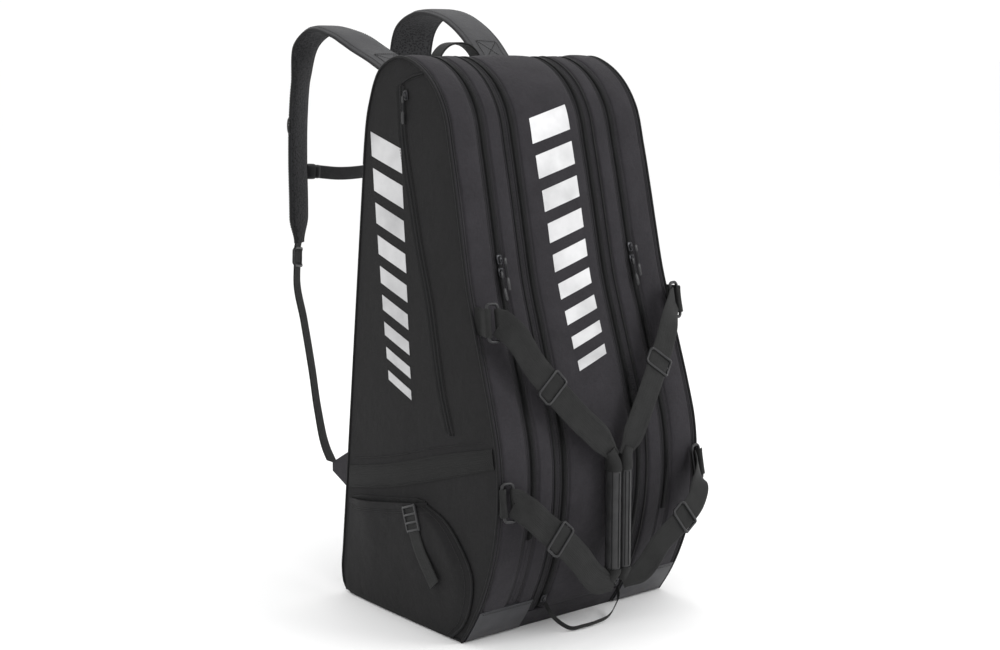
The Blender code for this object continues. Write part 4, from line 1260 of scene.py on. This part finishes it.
bp = curve(bs, 0.004)
wv = [Vector(q) for q in zip(*[lerp_list([v[i] for v in wd], len(bp)) for i in range(3)])]
g = Geo()
g.sweep(bp, wv, WEB, 0.024, 0.0016)
lbw = g.make("ladder_buckle_strap", "web")
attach(lbw, "bag")
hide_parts("ladder_buckle_webbing")

# ---- back panel pad, yoke ------------------------------------------------------------------------
pad_z = (0.075, 0.645)
g = Geo()


def pad_fn(u, v):
    z = pad_z[0] + (pad_z[1] - pad_z[0]) * v
    x = (-0.150 + 0.300 * u) * k(z)
    e = (1 - abs(2 * u - 1) ** 8) * (1 - abs(2 * v - 1) ** 18)
    # two stuffed columns with a spine channel and cross channels
    chan = 1 - 0.62 * math.exp(-((u - 0.5) / 0.035) ** 2)
    for q in (0.22, 0.41, 0.60, 0.79):
        chan *= 1 - 0.50 * math.exp(-((v - q - 0.03 * (abs(2 * u - 1) - 0.5)) / 0.010) ** 2)
    cushion = 0.0016 + 0.0086 * e * chan
    return Vector((x, back_line(z) + 0.0006 + cushion, z)), Vector((0, 1, 0))


g.shell(pad_fn, 72, 130, 0.0014, lambda u, v: (u * 0.3, v * 0.57))
ob = g.make("back_pad_mesh", "mesh")
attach(ob, "bag")
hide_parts("back_panel_pad")
g = Geo()
rim = [(-0.150, 0.075), (0.150, 0.075), (0.150, 0.645), (-0.150, 0.645), (-0.150, 0.075)]
rp = resample([Vector((x * k(z), back_line(z) + 0.0018, z)) for x, z in rim], 0.012)[0]
g.tube(rp, 0.0022)
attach(g.make("back_pad_binding", "binding"), "bag")
g = Geo()


def yoke_fn(u, v):
    z = 0.650 + 0.0485 * v
    s = s_back(z)
    return at(s, -0.135 + 0.270 * u, 0.0040), nrm(s)


g.shell(yoke_fn, 40, 10, 0.0036, lambda u, v: (v * 0.05, u * 0.27))
ob = g.make("strap_yoke_woven", "web")
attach(ob, "bag")
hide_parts("strap_yoke")
g = Geo()
for zz in (0.6535, 0.6965):
    s = s_back(zz)
    g.stitches([at(s, -0.131 + 0.262 * i / 60, 0.0041) for i in range(61)], nrm(s))
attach(g.make("yoke_stitching", "thread"), "bag")

# ---- shoulder straps ----------------------------------------------------------------------------
LEFT_PAD = [(-0.086, 0.104, 0.733), (-0.089, 0.140, 0.754), (-0.091, 0.188, 0.773), (-0.098, 0.245, 0.797), (-0.105, 0.297, 0.803),
            (-0.112, 0.327, 0.783), (-0.117, 0.338, 0.730), (-0.121, 0.341, 0.672), (-0.125, 0.338, 0.612), (-0.128, 0.333, 0.552), (-0.130, 0.331, 0.488)]
RIGHT_PAD = [(0.086, 0.104, 0.733), (0.090, 0.134, 0.759), (0.095, 0.176, 0.793), (0.100, 0.240, 0.824), (0.106, 0.313, 0.830),
             (0.112, 0.362, 0.806), (0.117, 0.385, 0.742), (0.121, 0.386, 0.680), (0.125, 0.378, 0.612), (0.128, 0.362, 0.552), (0.130, 0.346, 0.488)]
LOCK = (0.131, 0.336, 0.4660)
WEB_DOWN = [(0.1350, 0.332, 0.431), (0.1400, 0.306, 0.373), (0.1480, 0.273, 0.303), (0.1550, 0.248, 0.247), (0.1640, 0.213, 0.197)]
PIVOT = {"left": (-0.115, 0.115), "right": (0.0975, 0.1605)}
for side, s, ctrl in (("left", -1, LEFT_PAD), ("right", 1, RIGHT_PAD)):
    # the root is tucked in under the yoke
    ctrl = [(s * 0.084, 0.0935, 0.705)] + ctrl
    pts = resample(curve(ctrl, 0.005), 0.006)[0]
    n = len(pts)
    wide = []
    W, T = [], []
    for i in range(n):
        q = min(1.0, max(0.0, (i / (n - 1) - 0.28) / 0.3))
        wide.append(Vector((math.cos(0.62 * q), -s * math.sin(0.62 * q), 0)))
        e = i / (n - 1)
        W.append(0.064 - 0.034 * sstep(e, 0.93, 1.0))
        T.append(0.0050 + 0.0075 * sstep(e, 0.0, 0.08) - 0.0060 * sstep(e, 0.95, 1.0))
    g = Geo()
    prof = []
    # crowned outer face, flatter mesh face, pinched at the bound edges
    N = 16
    for i in range(N + 1):
        u = -1 + 2 * i / N
        prof.append((u, 0.16 + 0.84 * (1 - abs(u) ** 3.2)))
    for i in range(N, -1, -1):
        u = -1 + 2 * i / N
        prof.append((u, -0.16 - 0.84 * (1 - abs(u) ** 5)))
    g.sweep(pts, wide, prof, W, T)
    m = len(prof)
    # the face away from the wearer is smooth fabric; the inner face is spacer mesh
    fm = []
    for f in range(n - 1):
        for q in range(m):
            fm.append(0 if (q < N + 1) == (True) else 1)
    g.m = fm + [0, 0]
    # decide which side is outer from the arch: the outer face looks up and away from the bag
    mid_i = n // 3
    t = (pts[mid_i + 1] - pts[mid_i - 1]).normalized()
    w = (wide[mid_i] - t * wide[mid_i].dot(t)).normalized()
    if t.cross(w).z < 0:
        g.m = [1 - q for q in g.m[:-2]] + [0, 0]
    ob = g.make(side + "_shoulder_pad", ["strap_face", "mesh"])
    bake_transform(ob)
    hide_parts(side + "_shoulder_strap")
    g, gs = Geo(), Geo()
    for q in (-1, 1):
        pe, pin, nn_ = [], [], []
        for i in range(n):
            a, c2 = pts[max(0, i - 1)], pts[min(n - 1, i + 1)]
            t = (c2 - a).normalized()
            w = (wide[i] - t * wide[i].dot(t)).normalized()
            h = t.cross(w)
            pe.append(pts[i] + w * (q * (W[i] / 2 - 0.0006)))
            pin.append((pts[i], w, h, W[i], T[i]))
        g.tube(pe, 0.0021, 8)
        for sgn in (-1, 1):
            u = 0.84
            hh = 0.16 + 0.84 * (1 - u ** (3.2 if sgn > 0 else 5))
            gs.stitches([p + w * (q * u * Wd / 2) + h * (sgn * (hh * Td / 2)) for p, w, h, Wd, Td in pin], [h * sgn for p, w, h, Wd, Td in pin], 0.0042)
    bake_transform(g.make(side + "_strap_binding", "binding"))
    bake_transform(gs.make(side + "_strap_stitching", "thread"))
    w0 = Vector((math.cos(0.62), -s * math.sin(0.62), 0))
    lock = mirror(LOCK, s)
    down = (mirror(WEB_DOWN[0], s) - lock).normalized()
    fr = frame_at(lock, down, down.cross(w0))
    glide_fine(side + "_ladder_lock", fr, 0.030, 0.025, ((-0.0130, 1, 0.0017), (0.0025, -1, 0.0016), (0.0130, 1, 0.0017)), side + "_harness", side + "_ladder_lock")
    web = curve([lock - down * 0.010, lock, lock + down * 0.016] + [mirror(p, s) for p in WEB_DOWN] + [(s * 0.1665, 0.194, 0.180)], 0.006)
    g = Geo()
    g.sweep(web, [w0] * len(web), WEB, 0.025, 0.0016)
    ob = g.make(side + "_strap_webbing_woven", "web")
    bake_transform(ob)
    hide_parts(side + "_strap_webbing")
    up = Vector(ctrl[-1])
    g = Geo()
    g.sweep(curve([up + Vector((0, 0.001, 0.022)), up + Vector((0, 0.0005, 0.006)), lock - down * 0.0115, lock - down * 0.006], 0.003), w0, WEB, 0.025, 0.0018)
    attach(g.make(side + "_lock_webbing", "web"), side + "_harness")
    # folded triangle anchor
    x = s * 0.168
    z0, z1 = 0.150, 0.208
    g = Geo()

    def tri(u, v):
        y = back_line(z0) + 0.0006 + (0.188 - back_line(z0)) * u
        lo_, hi_ = z0 + (0.168 - z0) * u, z1 + (0.181 - z1) * u
        z = lo_ + (hi_ - lo_) * v
        puff_ = 0.0012 * math.sin(math.pi * v) * (1 - u)
        return Vector((x + s * 0.0035 * (1 - (y - 0.13) / 0.05) + s * (0.0018 + puff_), y, z)), Vector((s, 0, 0))

    g.shell(tri, 14, 10, 0.0036, lambda u, v: (v * 0.05, u * 0.06))
    ob = g.make(side + "_strap_anchor_folded", "shell")
    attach(ob, "bag")
    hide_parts(side + "_strap_anchor")
    # box-X stitch near the root
    i0, i1 = int(n * 0.10), int(n * 0.17)
    gs = Geo()
    P = []
    for i in (i0, i1):
        a, c2 = pts[i - 1], pts[i + 1]
        t = (c2 - a).normalized()
        w = (wide[i] - t * wide[i].dot(t)).normalized()
        h = t.cross(w)
        h = h if h.z > 0 else -h
        P.append((pts[i] + h * (T[i] / 2 + 0.0004), w, h))
    cn = [P[0][0] - P[0][1] * 0.018, P[0][0] + P[0][1] * 0.018, P[1][0] + P[1][1] * 0.018, P[1][0] - P[1][1] * 0.018]
    for a, c2 in ((0, 1), (1, 2), (2, 3), (3, 0), (0, 2), (1, 3)):
        gs.stitches([cn[a].lerp(cn[c2], q / 10) for q in range(11)], P[0][2], 0.0034)
    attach(gs.make(side + "_box_stitch", "thread"), side + "_harness")

def runner(name, pos, body, w0):
    """Moulded runner clipped round the strap's edge piping."""
    g = Geo()
    n_ = Vector((0, 0, 1)).cross(w0).normalized()
    g.bar(pos, Vector((0, 0, 1)), w0, n_, 0.024, 0.011, 0.0085)
    g.bar(pos + n_ * 0.0042, Vector((0, 0, 1)), w0, n_, 0.012, 0.006, 0.0020)
    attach(g.make(name, "plastic"), body)


# ---- sternum strap -------------------------------------------------------------------------------
STERN_L, STERN_R = Vector((-0.1094, 0.3594, 0.598)), Vector((0.1020, 0.4040, 0.598))
runner("left_sternum_runner", STERN_L + Vector((-0.0040, -0.0035, 0.0)), "left_harness", Vector((math.cos(0.62), math.sin(0.62), 0)))
runner("right_sternum_runner", STERN_R + Vector((0.0040, -0.0055, 0.0)), "right_harness", Vector((math.cos(0.62), -math.sin(0.62), 0)))
# webbing loop with its ring on the outer edge of the left strap
w0 = Vector((math.cos(0.62), math.sin(0.62), 0))
c = Vector((-0.1215, 0.3405, 0.664)) - w0 * 0.0345
g = Geo()
g.tube([c + w0 * (0.0065 * math.cos(a)) + Vector((0, 0, 0.0115 * math.sin(a))) for a in [2 * math.pi * i / 24 for i in range(24)]], 0.0012, 8, close=True)
g.bar(c + w0 * 0.0040, Vector((0, 0, 1)), w0, Vector((w0.y, -w0.x, 0)), 0.0100, 0.0080, 0.0030, mat=1)
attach(g.make("left_strap_loop", ["plastic", "web"]), "left_harness")
g = Geo()
g.sweep(curve([STERN_L, (-0.1052, 0.3601, 0.5968), (-0.0975, 0.3608, 0.5935)], 0.002), (0, 0, 1), WEB, 0.020, 0.0016)
ob = g.make("sternum_left_elastic", "elastic")
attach(ob, "left_sternum")
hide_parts("sternum_webbing_left")
g = Geo()
sr = curve([(-0.0735, 0.3610, 0.5910), (-0.040, 0.363, 0.587), (0.000, 0.371, 0.586), (0.050, 0.386, 0.589), (0.080, 0.397, 0.594), STERN_R], 0.005)
g.sweep(sr, (0, 0, 1), WEB, 0.020, 0.0016)
ob = g.make("sternum_right_elastic", "elastic")
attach(ob, "right_sternum")
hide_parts("sternum_webbing_right")
fb = frame_at((-0.088, 0.3610, 0.592), (1, 0.01, -0.06), (0, 1, 0))
c, t, w, nn = fb
g = Geo()
g.sweep([c - t * 0.0085, c - t * 0.0078, c - t * 0.004, c + t * 0.004, c + t * 0.0060], w, pad_prof(10, 3.6), [0.018, 0.0230, 0.0240, 0.0236, 0.0225], [0.0060, 0.0086, 0.0090, 0.0090, 0.0086])
g.bar(c - t * 0.001 + nn * 0.0046, w, t, nn, 0.0100, 0.0040, 0.0008)
ob = g.make("sternum_buckle_socket", "plastic")
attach(ob, "left_sternum")
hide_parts("sternum_buckle_female")
g = Geo()
g.sweep([c + t * 0.0066, c + t * 0.0076, c + t * 0.012, c + t * 0.0155, c + t * 0.0160], w, pad_prof(10, 3.6), [0.0196, 0.0206, 0.0210, 0.0200, 0.018], [0.0070, 0.0078, 0.0080, 0.0070, 0.0056])
ob = g.make("sternum_buckle_plug", "plastic")
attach(ob, "right_sternum")
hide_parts("sternum_buckle_male")

# ---- grab handle ---------------------------------------------------------------------------------
gh = [(-0.041, 0.1050, 0.700), (-0.041, 0.1080, 0.740), (-0.035, 0.1090, 0.766), (-0.018, 0.1095, 0.7815), (0.0, 0.1095, 0.7845),
      (0.018, 0.1095, 0.7815), (0.035, 0.1090, 0.766), (0.041, 0.1080, 0.740), (0.041, 0.1050, 0.700)]
pts = curve(gh, 0.004)
g = Geo()
g.sweep(pts, (0, 1, 0), WEB, 0.024, 0.0030)
ob = g.make("grab_handle_folded", "web")
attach(ob, "grab_handle")
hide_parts("grab_handle")

# ---- floor and light -----------------------------------------------------------------------------
me = bpy.data.meshes.new("floor")
R = 400.0
me.from_pydata([(-R, -R, -0.0004), (R, -R, -0.0004), (R, R, -0.0004), (-R, R, -0.0004)], [], [[0, 1, 2, 3]])
fm, fnt, fb_ = new_mat("floor_paint", 0.9, spec=0.1)
fb_.inputs["Base Color"].default_value = (0.97, 0.97, 0.97, 1)
me.materials.append(fm)
floor = bpy.data.objects.new("floor", me)
scene.collection.objects.link(floor)

world = bpy.data.worlds.new("world")
world.use_nodes = True
world.node_tree.nodes["Background"].inputs[0].default_value = (1, 1, 1, 1)
world.node_tree.nodes["Background"].inputs[1].default_value = 1.04
scene.world = world
scene.view_settings.view_transform = "Standard"


def area(name, loc, target, size, power):
    d = bpy.data.lights.new(name, "AREA")
    d.shape = "DISK"
    d.size = size
    d.energy = power
    o = bpy.data.objects.new(name, d)
    o.location = loc
    o.rotation_euler = (Vector(target) - Vector(loc)).to_track_quat("-Z", "Y").to_euler()
    scene.collection.objects.link(o)


area("key_light", (1.3, -2.2, 2.0), (0, 0, 0.35), 1.4, 34)
area("fill_light", (-2.4, -0.6, 1.5), (0, 0, 0.4), 1.6, 6)
area("top_light", (0.1, 0.6, 2.6), (0, 0, 0.6), 1.2, 12)
